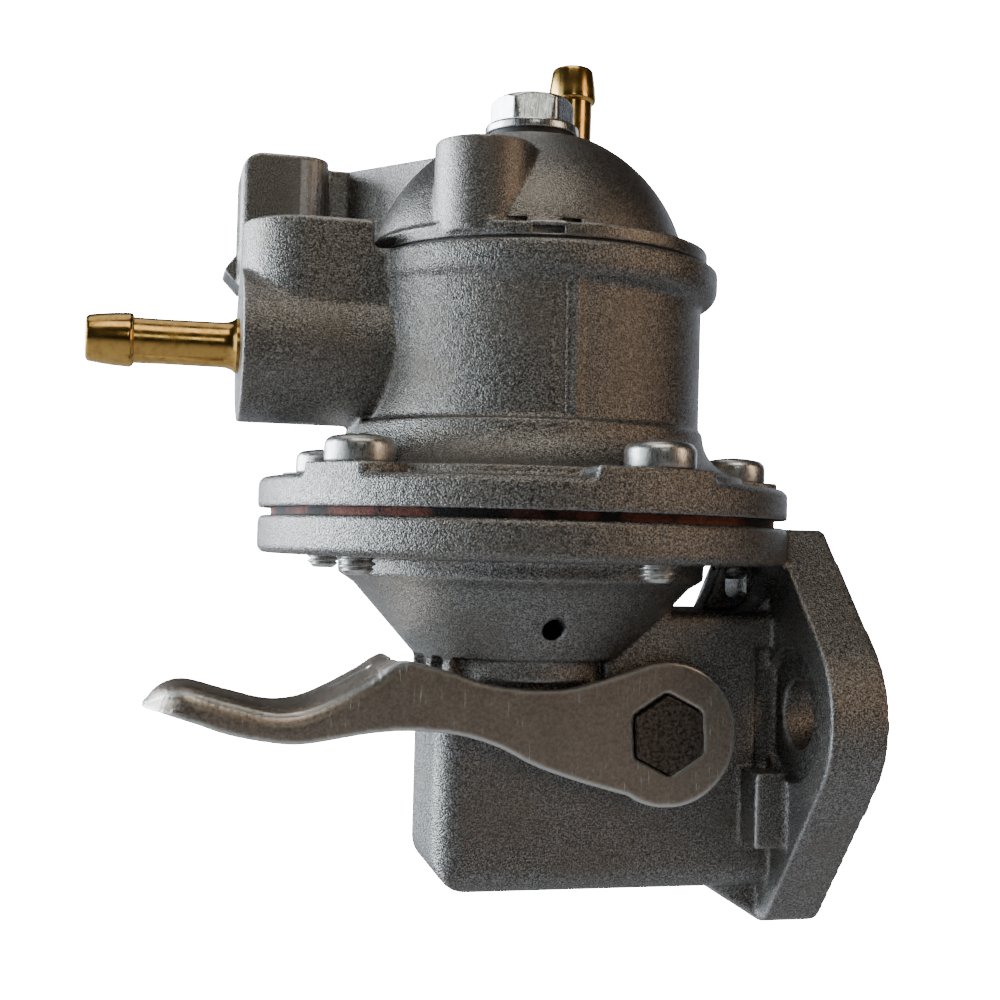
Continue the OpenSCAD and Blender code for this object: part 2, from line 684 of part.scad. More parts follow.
// Hose barb that stands on Z = 0 and is pressed into its boss below
module hose_pipe(length, barb) {
  difference() {
    rotate_extrude() polygon([[0, -pipe_depth], [barb_land_r, -pipe_depth], [barb_land_r, 0],
      [barb_land_r + 0.9, 0], [barb_land_r + 0.9, 0.8], [barb_land_r + 0.3, 2.2], [barb_land_r, 4],
      [barb_land_r, length - barb],
      [barb_r - 0.3, length - barb], [barb_r, length - barb + 0.5], [barb_r, length - barb + 1.4],
      [barb_land_r + 0.1, length - 0.6], [barb_land_r - 0.4, length], [0, length]]);
    translate([0, 0, -pipe_depth - past]) cylinder(r = barb_bore_r, h = length + pipe_depth + 2 * past);
  }
}

module outlet_pipe() color(brass) on_axis() {
  translate([-outlet_reach - seat_gap, -outlet_side, outlet_z]) rotate([0, -90, 0])
    hose_pipe(outlet_pipe_len, outlet_barb_len);
}

module inlet_pipe() color(brass) on_axis() {
  rotate(boss_angle) translate([boss_reach, 0, boss_top_z + seat_gap])
    hose_pipe(inlet_pipe_len, inlet_barb_len);
}

module flange_screw() {
  round_r = 2;
  difference() {
    rotate_extrude() difference() {
      square([screw_head_r, screw_head_h]);
      corner_off(screw_head_r, screw_head_h, 180, round_r);
      corner_off(screw_head_r, 0, 90, 0.6);
    }
    for (a = [20, 110]) rotate(a) translate([-3, -0.6, screw_head_h - 1.8]) cube([6, 1.2, 3]);
  }
  thread_l = lobe_z + lower_flange_t + screw_end;
  translate([0, 0, -thread_l]) cylinder(r = screw_r, h = thread_l + past);
}

module flange_screws() color(steel) on_axis() {
  for (a = screw_angles) rotate(a) translate([screw_circle_r, 0, lobe_z + seat_gap]) flange_screw();
}

// Diaphragm and its drive

module diaphragm() color([0.35, 0.12, 0.08]) on_axis() {
  translate([0, 0, seat_gap]) difference() {
    cylinder(r = flange_r - diaphragm_recess, h = diaphragm_t - 2 * seat_gap);
    for (a = screw_angles) rotate(a) translate([screw_circle_r, 0, -past])
      cylinder(r = screw_r + 0.1, h = diaphragm_t + 2 * past);
    translate([0, 0, -past]) cylinder(r = rod_thread_r + seat_gap, h = diaphragm_t + 2 * past);
  }
}

module plate(r, turned_up) {
  rotate_extrude() polygon([[rod_thread_r + seat_gap, 0], [r - 2, 0], [r, turned_up],
    [r, turned_up + plate_t], [r - 2, plate_t], [rod_thread_r + seat_gap, plate_t]]);
}

module upper_plate() color(steel) on_axis() {
  translate([0, 0, diaphragm_t + seat_gap]) plate(plate_r - 1, 0.6);
}

module lower_plate() color(steel) on_axis() {
  mirror([0, 0, 1]) translate([0, 0, seat_gap]) plate(plate_r, 0.6);
}

module pull_rod() color(steel) on_axis() {
  shoulder_z = -plate_t - 2 * seat_gap;
  translate([0, 0, -rod_foot_z]) cylinder(r = rod_r, h = rod_foot_z + shoulder_z);
  translate([0, 0, shoulder_z - 1.6]) cylinder(r = rod_r + 2, h = 1.6);
  translate([0, 0, shoulder_z - past]) cylinder(r = rod_thread_r, h = rod_top_z - shoulder_z + past);
  translate([0, 0, -rod_foot_z]) cylinder(r = rod_head_r, h = rod_head_t);
}

module rod_nut() color(steel) on_axis() {
  nut_z = diaphragm_t + plate_t + 2 * seat_gap;
  translate([0, 0, nut_z]) difference() {
    hex_prism(10, rod_top_z - nut_z - 0.5);
    translate([0, 0, -past]) cylinder(r = rod_thread_r + seat_gap, h = 10);
  }
}

module diaphragm_spring() color(steel) on_axis() {
  translate([0, 0, -spring_floor_z + seat_gap])
    coil(main_spring_r, main_wire_r, spring_floor_z - plate_t - 3 * seat_gap, 6);
}

module rod_seal() color(rubber) on_axis() {
  translate([0, 0, -spring_floor_z - seal_depth + seat_gap]) difference() {
    cylinder(r = seal_r, h = seal_depth - retainer_t - 2 * seat_gap);
    translate([0, 0, -past]) cylinder(r = rod_r + run_gap, h = seal_depth + past);
  }
}

module seal_retainer() color(steel) on_axis() {
  translate([0, 0, -spring_floor_z - retainer_t]) difference() {
    cylinder(r = seal_r, h = retainer_t);
    translate([0, 0, -past]) cylinder(r = rod_r + 0.5, h = retainer_t + 2 * past);
  }
}

// Valves, drawn with the flow along +Z and the seat's face on Z = 0

module valve_seat() {
  rotate_extrude() polygon([[4.2, -1.2], [4.2, 0], [valve_r, 0], [valve_r, -valve_sink],
    [valve_r - 1.6, -valve_sink], [valve_r - 1.6, -1.2]]);
}

module valve_disc() {
  translate([0, 0, seat_gap]) cylinder(r = valve_r - 2, h = disc_t);
}

module valve_spring() {
  foot_z = disc_t + 2 * seat_gap;
  translate([0, 0, foot_z]) coil(2.6, 0.25, cage_h - cage_t - foot_z - seat_gap, 4);
}

module valve_cage() {
  difference() {
    rotate_extrude() polygon([[valve_r - 1, seat_gap], [valve_r, seat_gap], [valve_r, cage_h], [0, cage_h],
      [0, cage_h - cage_t], [valve_r - 1, cage_h - cage_t]]);
    for (a = [0 : 90 : 270]) rotate(a) translate([4.8, 0, cage_h - cage_t - past])
      cylinder(r = 1.5, h = cage_t + 2 * past);
  }
}

module at_inlet_valve() {
  on_axis() translate([valve_x, 0, bowl_floor_z - valve_sink]) rotate([180, 0, 0]) children();
}

module at_outlet_valve() {
  on_axis() translate([-valve_x, 0, chamber_roof_z + valve_sink]) children();
}

module inlet_valve_seat() color(brass) at_inlet_valve() valve_seat();
module inlet_valve_disc() color(rubber) at_inlet_valve() valve_disc();
module inlet_valve_spring() color(steel) at_inlet_valve() valve_spring();
module inlet_valve_cage() color(brass) at_inlet_valve() valve_cage();
module outlet_valve_seat() color(brass) at_outlet_valve() valve_seat();
module outlet_valve_disc() color(rubber) at_outlet_valve() valve_disc();
module outlet_valve_spring() color(steel) at_outlet_valve() valve_spring();
module outlet_valve_cage() color(brass) at_outlet_valve() valve_cage();

// Rocker arm

module rocker_arm() color(dark_steel) on_axis() {
  arm_w = 8;
  cam_arm_w = 11;
  fork_half = 8;
  slot_r = rod_r + 0.8;
  difference() {
    union() {
      across(arm_w) belt([[fork_x, -fork_z, fork_pad_r - 0.3], [pivot_x, -pivot_z, hub_r - 0.6]]);
      across(2 * fork_half) belt([[0, -fork_z, fork_pad_r], [fork_x + 2.6, -fork_z, fork_pad_r]]);
      across(2 * hub_half) translate([pivot_x, -pivot_z]) circle(hub_r);
      across(cam_arm_w) belt([[pivot_x, -pivot_z, hub_r - 0.25],
        [axis_reach + cam_reach - cam_pad_r, -pivot_z - 1, cam_pad_r]]);
    }
    translate([0.3, 0, -pivot_z - 10]) cylinder(r = slot_r, h = 20);
    translate([-10, -slot_r, -pivot_z - 10]) cube([10.3, 2 * slot_r, 20]);
    across(4 * hub_half) translate([pivot_x, -pivot_z]) circle(pin_r + run_gap);
  }
}

module rocker_pin() color(steel) on_axis() {
  far_y = box_half_w + 2.4;
  translate([pivot_x, far_y, -pivot_z]) rotate([90, 0, 0])
    cylinder(r = pin_r, h = far_y + box_half_w - pin_skin - 0.1);
}

module pivot_washers() color(steel) on_axis() {
  side_gap = box_half_w - box_wall - hub_half;
  for (s = [-1, 1]) across(side_gap - 0.3, s * (hub_half + side_gap / 2)) translate([pivot_x, -pivot_z])
    difference() {
      circle(hub_r);
      circle(pin_r + run_gap);
    }
}

module rocker_spring() color(steel) on_axis() {
  spring_r = 4;
  wire = 0.7;
  share = (rocker_spring_x + spring_r + wire - fork_x) / (pivot_x - fork_x);
  arm_foot_z = fork_z + share * (pivot_z - fork_z) + fork_pad_r + share * (hub_r - 0.6 - fork_pad_r);
  floor_z = box_floor_z - box_wall;
  translate([rocker_spring_x, 0, -floor_z + seat_gap])
    coil(spring_r, wire, floor_z - arm_foot_z - spring_play, 4);
}

// Hand priming lever

// Top edge of the lever in the side view, from the tip to the round end
lever_top = [[0.5 - lever_reach, -29.6], [-58.6, -27.6], [-50.8, -29.4], [-43.9, -31], [-38.6, -30.6],
  [-33.7, -28.6], [-28.7, -25.9], [-23.5, -23.2], [-15.6, -24.9], [-8.7, -27], [-1.1, -27.8], [5.4, -27.5],
  [13, -25.4], [18, -23.8]];
// Lower edge of the near wall, from the round end back to the tip
lever_foot = [[16, -45.6], [7, -43.1], [-0.7, -40.4], [-7.2, -37.2], [-14.1, -35.2], [-21.6, -34.6],
  [-28.4, -35], [-38.4, -36.6], [-43.8, -36.4], [-50.7, -35.1], [-56.4, -33.2], [0.8 - lever_reach, -31]];
// Where the web of the finger channel ends
web_end_x = -23.5;

module lever_side() {
  polygon(concat(curve(lever_top, 6), curve(lever_foot, 6)));
  translate([shaft_x, -shaft_z]) circle(lever_disc_r);
}

// The finger's part of that side view, with its top lowered and its end moved
module finger_side(drop, longer) {
  intersection() {
    translate([0, -drop]) lever_side();
    translate([-lever_reach - past, -lever_w - shaft_z])
      square([lever_reach + web_end_x + longer + past, lever_w + shaft_z]);
  }
}

// The finger seen from above, with its rounded tip, drawn inside its own edge by a given distance
module finger_plan(inset) {
  near_y = -box_half_w - lever_gap - lever_t;
  tip_r = lever_w / 2;
  translate([0, 0, -2 * shaft_z]) linear_extrude(2 * shaft_z) {
    translate([tip_r - lever_reach, near_y + inset]) square([2 * lever_reach, lever_w - 2 * inset]);
    translate([tip_r - lever_reach, near_y + tip_r]) circle(tip_r - inset);
  }
}

module priming_lever() color(steel) on_axis() {
  near_y = -box_half_w - lever_gap - lever_t;
  mid_y = near_y + lever_w / 2;
  slot_l = 6.5;
  slot_w = 1.6;
  difference() {
    intersection() {
      union() {
        across(lever_t, near_y + lever_t / 2) lever_side();
        // the finger is a channel, whose wall runs on round its tip
        difference() {
          across(lever_w, mid_y) finger_side(0, 0);
          intersection() {
            across(lever_w, mid_y) finger_side(lever_t, past);
            finger_plan(lever_t);
          }
          across(lever_w, mid_y + 2 * lever_t) finger_side(lever_lip, past);
        }
      }
      finger_plan(0);
    }
    // slot in the web, and the web's slanting end
    translate([web_end_x - slot_l - 3.5, mid_y - slot_w / 2 - 0.1, -shaft_z - 5])
      cube([slot_l, slot_w, shaft_z]);
    translate([web_end_x - 1.1, near_y + lever_t + 3.4, -shaft_z - 5]) rotate(-14)
      cube([20, lever_w, shaft_z]);
    across(lever_t + 2 * past, near_y + lever_t / 2) translate([shaft_x, -shaft_z]) rotate(stake_turn)
      circle(stake_w / 2 + stake_gap, $fn = 6);
  }
}

module priming_shaft() color(dark_steel) on_axis() {
  near_y = -box_half_w - lever_gap - lever_t;
  far_y = box_half_w + 2.2;
  translate([shaft_x, 0, -shaft_z]) {
    translate([0, near_y + lever_t, 0]) rotate([90, 0, 0]) rotate(stake_turn)
      cylinder(r = stake_w / 2, h = lever_t + 0.9, $fn = 6);
    translate([0, near_y + lever_t + 0.3, 0]) rotate([90, 0, 0]) cylinder(r = shaft_r + 2.5, h = 0.28);
    difference() {
      translate([0, far_y, 0]) rotate([90, 0, 0]) cylinder(r = shaft_r, h = far_y - near_y - lever_t);
      // the half that is cut away over the rocker arm
      translate([-shaft_r - past, -5, -shaft_r - past])
        cube([2 * shaft_r + 2 * past, 10, shaft_r - 2.2 + past]);
      // the clip's groove
      translate([0, box_half_w + clip_gap + clip_t + seat_gap, 0]) rotate([90, 0, 0]) difference() {
        cylinder(r = shaft_r + past, h = clip_t + 2 * seat_gap);
        translate([0, 0, -past]) cylinder(r = shaft_r - 0.9, h = clip_t + 4 * past);
      }
    }
  }
}

module shaft_clip() color(steel) on_axis() {
  across(clip_t, box_half_w + clip_gap + clip_t / 2) translate([shaft_x, -shaft_z]) difference() {
    circle(shaft_r + 2.2);
    circle(shaft_r - 0.9 + seat_gap);
    translate([0, -10]) square([2 * (shaft_r - 1.6), 20], center = true);
  }
}

module shaft_seal() color(rubber) on_axis() {
  across(shaft_seal_t - 2 * seat_gap, -(box_half_w - box_wall) - shaft_seal_t / 2)
    translate([shaft_x, -shaft_z]) difference() {
      circle(shaft_seal_r);
      circle(shaft_r + run_gap);
    }
}

module priming_spring() color(steel) on_axis() {
  wire = 0.6;
  length = 4;
  leg = shaft_z - box_roof_z - box_wall - spring_play;
  translate([shaft_x, box_half_w - box_wall - 0.1, -shaft_z]) rotate([90, 0, 0]) {
    coil(shaft_r + 1 + wire, wire, length, 3);
    translate([shaft_r + 1 + wire, 0, wire]) rotate([-90, 0, 0]) cylinder(r = wire, h = leg);
  }
}

// Derived places shared by several pieces
bowl_shift = 0.75;
post_r = 7.4;
post_top_z = seat_z - 5.4;
bolt_depth = 14;
bolt_seal_t = 1.5;
screen_r = 27;
screen_z = rim_top_z - 1;
valve_x = 15.8;
valve_r = 8.1;
valve_sink = 3.2;
disc_t = 1.4;
cage_h = 6;
cage_t = 0.8;
rod_thread_r = rod_r - 0.5;
rod_top_z = diaphragm_t + plate_t + 4;
rod_head_t = 2.9;
fork_x = 6;
fork_z = 44.5;
fork_pad_r = 2.5;
rod_foot_z = fork_z + fork_pad_r + 0.05 + rod_head_t;
seal_r = 7.4;
seal_depth = 4.2;
retainer_t = 0.8;
hub_half = 8;
pin_skin = 0.8;
rocker_spring_x = 15;
spring_play = 0.25;
shaft_seal_t = 1.8;
shaft_seal_r = shaft_r + 2.2;
clip_gap = 0.9;
clip_t = 0.9;

lower_body();
upper_body();
dome_cover();
cover_bolt();
cover_bolt_seal();
cover_gasket();
filter_screen();
outlet_pipe();
inlet_pipe();
flange_screws();
diaphragm();
upper_plate();
lower_plate();
pull_rod();
rod_nut();
diaphragm_spring();
rod_seal();
seal_retainer();
inlet_valve_seat();
inlet_valve_disc();
inlet_valve_spring();
inlet_valve_cage();
outlet_valve_seat();
outlet_valve_disc();
outlet_valve_spring();
outlet_valve_cage();
rocker_arm();
rocker_pin();
pivot_washers();
rocker_spring();
priming_lever();
priming_shaft();
shaft_clip();
shaft_seal();
priming_spring();
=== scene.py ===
"""Looks for the mechanical fuel pump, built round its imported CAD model.

Sizes are in millimetres in the pump's own frame: Z is the axis of the bowl and the diaphragm, and
the diaphragm's seat is at zero. point() turns such a place into metres in the row frame. The camera,
the lights, the floor and the springs' resting ends are given in metres in the row frame.
"""

import json
import math

import bmesh
import bpy
import numpy as np
from mathutils import Matrix, Vector, noise

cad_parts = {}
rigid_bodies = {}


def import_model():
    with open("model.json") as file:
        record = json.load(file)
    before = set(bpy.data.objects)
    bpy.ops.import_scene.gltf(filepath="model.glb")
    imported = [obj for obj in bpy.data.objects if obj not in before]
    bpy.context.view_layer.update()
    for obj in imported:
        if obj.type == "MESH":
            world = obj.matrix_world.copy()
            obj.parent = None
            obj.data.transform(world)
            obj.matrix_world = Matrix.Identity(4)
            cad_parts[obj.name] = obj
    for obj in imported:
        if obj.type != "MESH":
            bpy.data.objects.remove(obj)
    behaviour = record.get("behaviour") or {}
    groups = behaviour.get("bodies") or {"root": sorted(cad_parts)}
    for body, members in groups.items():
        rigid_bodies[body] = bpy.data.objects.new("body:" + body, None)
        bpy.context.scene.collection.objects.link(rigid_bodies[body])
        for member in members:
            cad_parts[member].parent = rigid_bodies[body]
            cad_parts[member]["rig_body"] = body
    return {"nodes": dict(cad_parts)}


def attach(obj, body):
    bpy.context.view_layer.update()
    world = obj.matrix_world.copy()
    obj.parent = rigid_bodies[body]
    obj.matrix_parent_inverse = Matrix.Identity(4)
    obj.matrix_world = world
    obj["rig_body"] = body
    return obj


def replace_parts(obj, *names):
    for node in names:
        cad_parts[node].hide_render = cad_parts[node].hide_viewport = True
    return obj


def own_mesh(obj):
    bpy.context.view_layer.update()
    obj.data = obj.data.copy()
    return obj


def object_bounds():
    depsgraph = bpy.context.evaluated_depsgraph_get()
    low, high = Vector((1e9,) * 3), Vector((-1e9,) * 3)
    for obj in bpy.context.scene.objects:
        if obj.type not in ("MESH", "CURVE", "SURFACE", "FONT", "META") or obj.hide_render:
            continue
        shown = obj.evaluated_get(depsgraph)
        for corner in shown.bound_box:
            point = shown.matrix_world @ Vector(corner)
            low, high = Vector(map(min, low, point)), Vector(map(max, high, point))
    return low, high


MM = 0.001
ROW_SHIFT = Vector((-52.5, 0.0, 31.5))

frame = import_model()
cad_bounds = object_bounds()
nodes = frame["nodes"]


def point(x, y, z):
    """A place in the pump's frame, in metres in the row frame."""
    return (Vector((x, y, z)) + ROW_SHIFT) * MM


def pump_place(vector):
    """The inverse of point(): a place in the pump's frame, in millimetres."""
    return Vector(vector) / MM - ROW_SHIFT


def placed(name, data):
    """A new object with this data, linked to the scene."""
    thing = bpy.data.objects.new(name, data)
    bpy.context.scene.collection.objects.link(thing)
    return thing


def formed(name, form):
    """A new object with the shape of a bmesh form, which is freed."""
    mesh = bpy.data.meshes.new(name)
    form.to_mesh(mesh)
    form.free()
    return placed(name, mesh)


# Camera

CAMERA_HEADING = math.radians(13.14)
CAMERA_TILT = math.radians(1.547)
CAMERA_ROLL = math.radians(1.547)
CAMERA_PLACE = Vector((-0.1154, -0.2523, 0.0283))
CAMERA_NEAREST = 0.005
SENSOR_MM = 36.0
LENS_MM = 53.06


def add_camera():
    """The photograph's view: level with the flanges, and a little to the left of square."""
    forward = Vector((
        math.sin(CAMERA_HEADING) * math.cos(CAMERA_TILT),
        math.cos(CAMERA_HEADING) * math.cos(CAMERA_TILT),
        math.sin(CAMERA_TILT),
    ))
    level_right = Vector((math.cos(CAMERA_HEADING), -math.sin(CAMERA_HEADING), 0.0))
    level_up = level_right.cross(forward)
    right = level_right * math.cos(CAMERA_ROLL) + level_up * math.sin(CAMERA_ROLL)
    up = level_up * math.cos(CAMERA_ROLL) - level_right * math.sin(CAMERA_ROLL)
    data = bpy.data.cameras.new("camera")
    data.sensor_width = SENSOR_MM
    data.lens = LENS_MM
    data.clip_start = CAMERA_NEAREST
    camera = placed("camera", data)
    rotation = Matrix((right, up, -forward)).transposed().to_4x4()
    camera.matrix_world = Matrix.Translation(CAMERA_PLACE) @ rotation
    bpy.context.scene.camera = camera


add_camera()


# Surround and floor: the camera sees both as white paper, the metal reflects them much darker

PAPER_WHITE = 30.0
SURROUND_COLOUR = (0.95, 0.93, 0.9, 1.0)
SURROUND_STRENGTH = 0.025
FLOOR_HALF_SIDE = 4.0
FLOOR_DROP = 0.1
FLOOR_COLOUR = (0.5, 0.51, 0.53, 1.0)
FLOOR_ROUGHNESS = 0.9


def white_to_camera(tree, white, otherwise, surface):
    """Shows one shader to the camera's own rays and the other to all the rest."""
    path = tree.nodes.new("ShaderNodeLightPath")
    mix = tree.nodes.new("ShaderNodeMixShader")
    tree.links.new(path.outputs["Is Camera Ray"], mix.inputs["Fac"])
    tree.links.new(otherwise.outputs[0], mix.inputs[1])
    tree.links.new(white.outputs[0], mix.inputs[2])
    tree.links.new(mix.outputs[0], surface)


def add_world():
    """A white surround for the camera and a dim one for the metal to reflect."""
    world = bpy.data.worlds.new("studio")
    bpy.context.scene.world = world
    world.use_nodes = True
    tree = world.node_tree
    tree.nodes.clear()
    output = tree.nodes.new("ShaderNodeOutputWorld")
    white = tree.nodes.new("ShaderNodeBackground")
    white.inputs["Color"].default_value = (1.0, 1.0, 1.0, 1.0)
    white.inputs["Strength"].default_value = PAPER_WHITE
    reflected = tree.nodes.new("ShaderNodeBackground")
    reflected.inputs["Color"].default_value = SURROUND_COLOUR
    reflected.inputs["Strength"].default_value = SURROUND_STRENGTH
    white_to_camera(tree, white, reflected, output.inputs["Surface"])


def add_floor():
    """A plain pale floor well below the pump, which hangs free as in the photograph."""
    height = cad_bounds[0].z - FLOOR_DROP
    corners = [
        (-FLOOR_HALF_SIDE, -FLOOR_HALF_SIDE, height),
        (FLOOR_HALF_SIDE, -FLOOR_HALF_SIDE, height),
        (FLOOR_HALF_SIDE, FLOOR_HALF_SIDE, height),
        (-FLOOR_HALF_SIDE, FLOOR_HALF_SIDE, height),
    ]
    mesh = bpy.data.meshes.new("floor")
    mesh.from_pydata(corners, [], [(0, 1, 2, 3)])
    floor = placed("floor", mesh)
    material = bpy.data.materials.new("pale_floor")
    material.use_nodes = True
    tree = material.node_tree
    surface = tree.nodes["Principled BSDF"]
    surface.inputs["Base Color"].default_value = FLOOR_COLOUR
    surface.inputs["Roughness"].default_value = FLOOR_ROUGHNESS
    white = tree.nodes.new("ShaderNodeEmission")
    white.inputs["Strength"].default_value = PAPER_WHITE
    white_to_camera(tree, white, surface, tree.nodes["Material Output"].inputs["Surface"])
    mesh.materials.append(material)


add_world()
add_floor()


# Lights

TARGET = (-0.055, 0.0, 0.04)
BOLT = (-0.0525, 0.0, 0.105)

# Each light: name, place, the place that it faces, width, height, watts and colour
LIGHTS = (
    ("key_left", (-0.9, 0.42, 0.1), TARGET, 0.9, 0.9, 33.0, (0.84, 0.92, 1.0)),
    ("side_left", (-0.9, -0.22, 0.1), TARGET, 0.35, 0.8, 2.0, (0.86, 0.96, 1.0)),
    ("fill_right", (0.66, -0.54, 0.3), TARGET, 0.3, 0.55, 1.7, (1.0, 0.72, 0.5)),
    ("window", (-0.134, -0.86, 0.36), BOLT, 0.14, 0.14, 0.22, (0.97, 1.0, 0.9)),
    ("top", (-0.2, 0.25, 0.9), TARGET, 0.7, 0.5, 1.2, (0.94, 0.97, 1.0)),
    ("top_front", (-0.12, -0.4, 0.8), TARGET, 0.6, 0.35, 2.0, (1.0, 0.92, 0.8)),
    ("back_right", (0.6, 0.7, 0.25), TARGET, 0.4, 0.5, 0.7, (0.8, 0.88, 1.0)),
)


def add_area_light(name, place, target, width, height, power, colour):
    """A rectangular soft light at place that faces target."""
    data = bpy.data.lights.new(name, "AREA")
    data.shape = "RECTANGLE"
    data.size = width
    data.size_y = height
    data.energy = power
    data.color = colour
    light = placed(name, data)
    light.location = place
    light.rotation_euler = (Vector(target) - Vector(place)).to_track_quat("-Z", "Y").to_euler()


for light_values in LIGHTS:
    add_area_light(*light_values)


# Materials

# The mesh attribute that says how far each vertex bulges out; the finishes use it to paint outside edges
# bright, as wear and as a painted highlight
EDGE_BULGE = "edge_bulge"

# The sockets of a Mix node that carry colours
MIX_COLOUR_INPUTS = (6, 7)
MIX_COLOUR_OUTPUT = 2

# Size of the casting's lumps, in grains
LUMP_GRAINS = 4.0
# The colour of outside edges: bare metal showing through wear, and a painted highlight
BARE_METAL_AND_HIGHLIGHT = (0.72, 0.72, 0.72)

# How much finer than its size a stretched noise is along X, Y and Z
TOOL_MARKS = (300.0, 300.0, 40.0)
SCRATCHES = (16.0, 16.0, 1.4)
RINGS_ROUND_X = (14.0, 1.0, 1.0)
RINGS_ROUND_Z = (1.0, 1.0, 14.0)


class Finish:
    """Builds one node material round a Principled surface."""

    def __init__(self, name, metallic, roughness):
        self.material = bpy.data.materials.new(name)
        self.material.use_nodes = True
        self.tree = self.material.node_tree
        self.surface = self.tree.nodes["Principled BSDF"]
        self.surface.inputs["Metallic"].default_value = metallic
        self.surface.inputs["Roughness"].default_value = roughness
        self.coordinates = self.tree.nodes.new("ShaderNodeTexCoord")

    def link(self, source, target):
        """Joins an output to an input."""
        self.tree.links.new(source, target)

    def stretched(self, scale):
        """Object coordinates with each axis scaled by its own factor."""
        node = self.tree.nodes.new("ShaderNodeMapping")
        node.inputs["Scale"].default_value = scale
        self.link(self.coordinates.outputs["Object"], node.inputs["Vector"])
        return node.outputs["Vector"]

    def noise(self, size, detail, roughness, vector=None):
        """Soft noise whose spots are about size millimetres across."""
        node = self.tree.nodes.new("ShaderNodeTexNoise")
        node.inputs["Scale"].default_value = 1.0 / (size * MM)
        node.inputs["Detail"].default_value = detail
        node.inputs["Roughness"].default_value = roughness
        self.link(vector or self.coordinates.outputs["Object"], node.inputs["Vector"])
        return node.outputs["Fac"]

    def spread(self, value, low, high, to_low=0.0, to_high=1.0):
        """value, with low..high turned into to_low..to_high."""
        node = self.tree.nodes.new("ShaderNodeMapRange")
        node.inputs["From Min"].default_value = low
        node.inputs["From Max"].default_value = high
        node.inputs["To Min"].default_value = to_low
        node.inputs["To Max"].default_value = to_high
        self.link(value, node.inputs["Value"])
        return node.outputs["Result"]

    def mix(self, share, first, second):
        """A colour between first and second, which are colours or sockets."""
        node = self.tree.nodes.new("ShaderNodeMix")
        node.data_type = "RGBA"
        self.link(share, node.inputs["Factor"])
        for index, value in zip(MIX_COLOUR_INPUTS, (first, second)):
            if isinstance(value, tuple):
                node.inputs[index].default_value = (*value, 1.0)
            else:
                self.link(value, node.inputs[index])
        return node.outputs[MIX_COLOUR_OUTPUT]

    def add(self, first, second, share):
        """first plus second times share."""
        node = self.tree.nodes.new("ShaderNodeMath")
        node.operation = "MULTIPLY_ADD"
        self.link(second, node.inputs[0])
        node.inputs[1].default_value = share
        self.link(first, node.inputs[2])
        return node.outputs[0]

    def times(self, first, second):
        """first times second."""
        node = self.tree.nodes.new("ShaderNodeMath")
        node.operation = "MULTIPLY"
        self.link(first, node.inputs[0])
        self.link(second, node.inputs[1])
        return node.outputs[0]

    def wear_and_highlight_edges(self, low, high, most):
        """0 on flat faces and in corners, up to most along outside edges."""
        node = self.tree.nodes.new("ShaderNodeAttribute")
        node.attribute_name = EDGE_BULGE
        return self.spread(node.outputs["Fac"], low, high, to_high=most)

    def colour(self, value):
        """Sets the surface's colour."""
        self.link(value, self.surface.inputs["Base Color"])

    def gloss(self, value):
        """Sets the surface's roughness."""
        self.link(value, self.surface.inputs["Roughness"])

    def bump(self, height, depth):
        """Bump whose full height is depth millimetres."""
        node = self.tree.nodes.new("ShaderNodeBump")
        node.inputs["Strength"].default_value = 1.0
        node.inputs["Distance"].default_value = depth * MM
        self.link(height, node.inputs["Height"])
        self.link(node.outputs["Normal"], self.surface.inputs["Normal"])


def cast_finish(name, light, dark, patch, grain, depth):
    """Blasted die casting: a dense sparkling grain, cloudy tone, and outside edges painted bright, as wear
    and as a painted highlight.
    """
    made = Finish(name, metallic=0.93, roughness=0.4)
    fine = made.noise(grain, detail=1.0, roughness=0.5)
    lumps = made.noise(grain * LUMP_GRAINS, detail=2.0, roughness=0.5)
    cloud = made.noise(size=16.0, detail=4.0, roughness=0.6)
    tone = made.mix(made.spread(fine, low=0.4, high=0.66), dark, light)
    tone = made.mix(made.spread(cloud, low=0.45, high=0.7, to_high=0.6), tone, patch)
    # Outside edges lightened towards bare metal: wear, and a painted highlight along the rims
    tone = made.mix(made.wear_and_highlight_edges(low=0.04, high=0.16, most=0.85), tone, BARE_METAL_AND_HIGHLIGHT)
    made.colour(tone)
    both = made.add(fine, cloud, share=0.5)
    made.gloss(made.spread(both, low=0.55, high=0.95, to_low=0.3, to_high=0.46))
    made.bump(made.add(fine, lumps, share=0.7), depth)
    return made.material


def plated_finish(name, light, dark, smoothest, roughest):
    """Bright plated steel with faint stains, and fine tool marks that vary its roughness."""
    made = Finish(name, metallic=1.0, roughness=0.25)
    marks = made.noise(size=60.0, detail=3.0, roughness=0.6, vector=made.stretched(TOOL_MARKS))
    stain = made.noise(size=2.5, detail=4.0, roughness=0.6)
    made.colour(made.mix(made.spread(stain, low=0.4, high=0.7), light, dark))
    made.gloss(made.spread(marks, low=0.3, high=0.7, to_low=smoothest, to_high=roughest))
    grain = made.noise(size=0.5, detail=2.0, roughness=0.5)
    made.bump(made.add(marks, grain, share=0.6), depth=0.02)
    return made.material


def brass_finish(name, along, light, dark):
    """Turned brass with fine rings round its axis and a few dull spots."""
    made = Finish(name, metallic=1.0, roughness=0.2)
    rings = made.noise(size=60.0, detail=2.0, roughness=0.6, vector=made.stretched(along))
    stain = made.noise(size=1.6, detail=4.0, roughness=0.65)
    made.colour(made.mix(made.spread(stain, low=0.45, high=0.72), light, dark))
    both = made.add(rings, stain, share=0.3)
    made.gloss(made.spread(both, low=0.4, high=0.95, to_low=0.12, to_high=0.32))
    made.bump(both, depth=0.02)
    return made.material


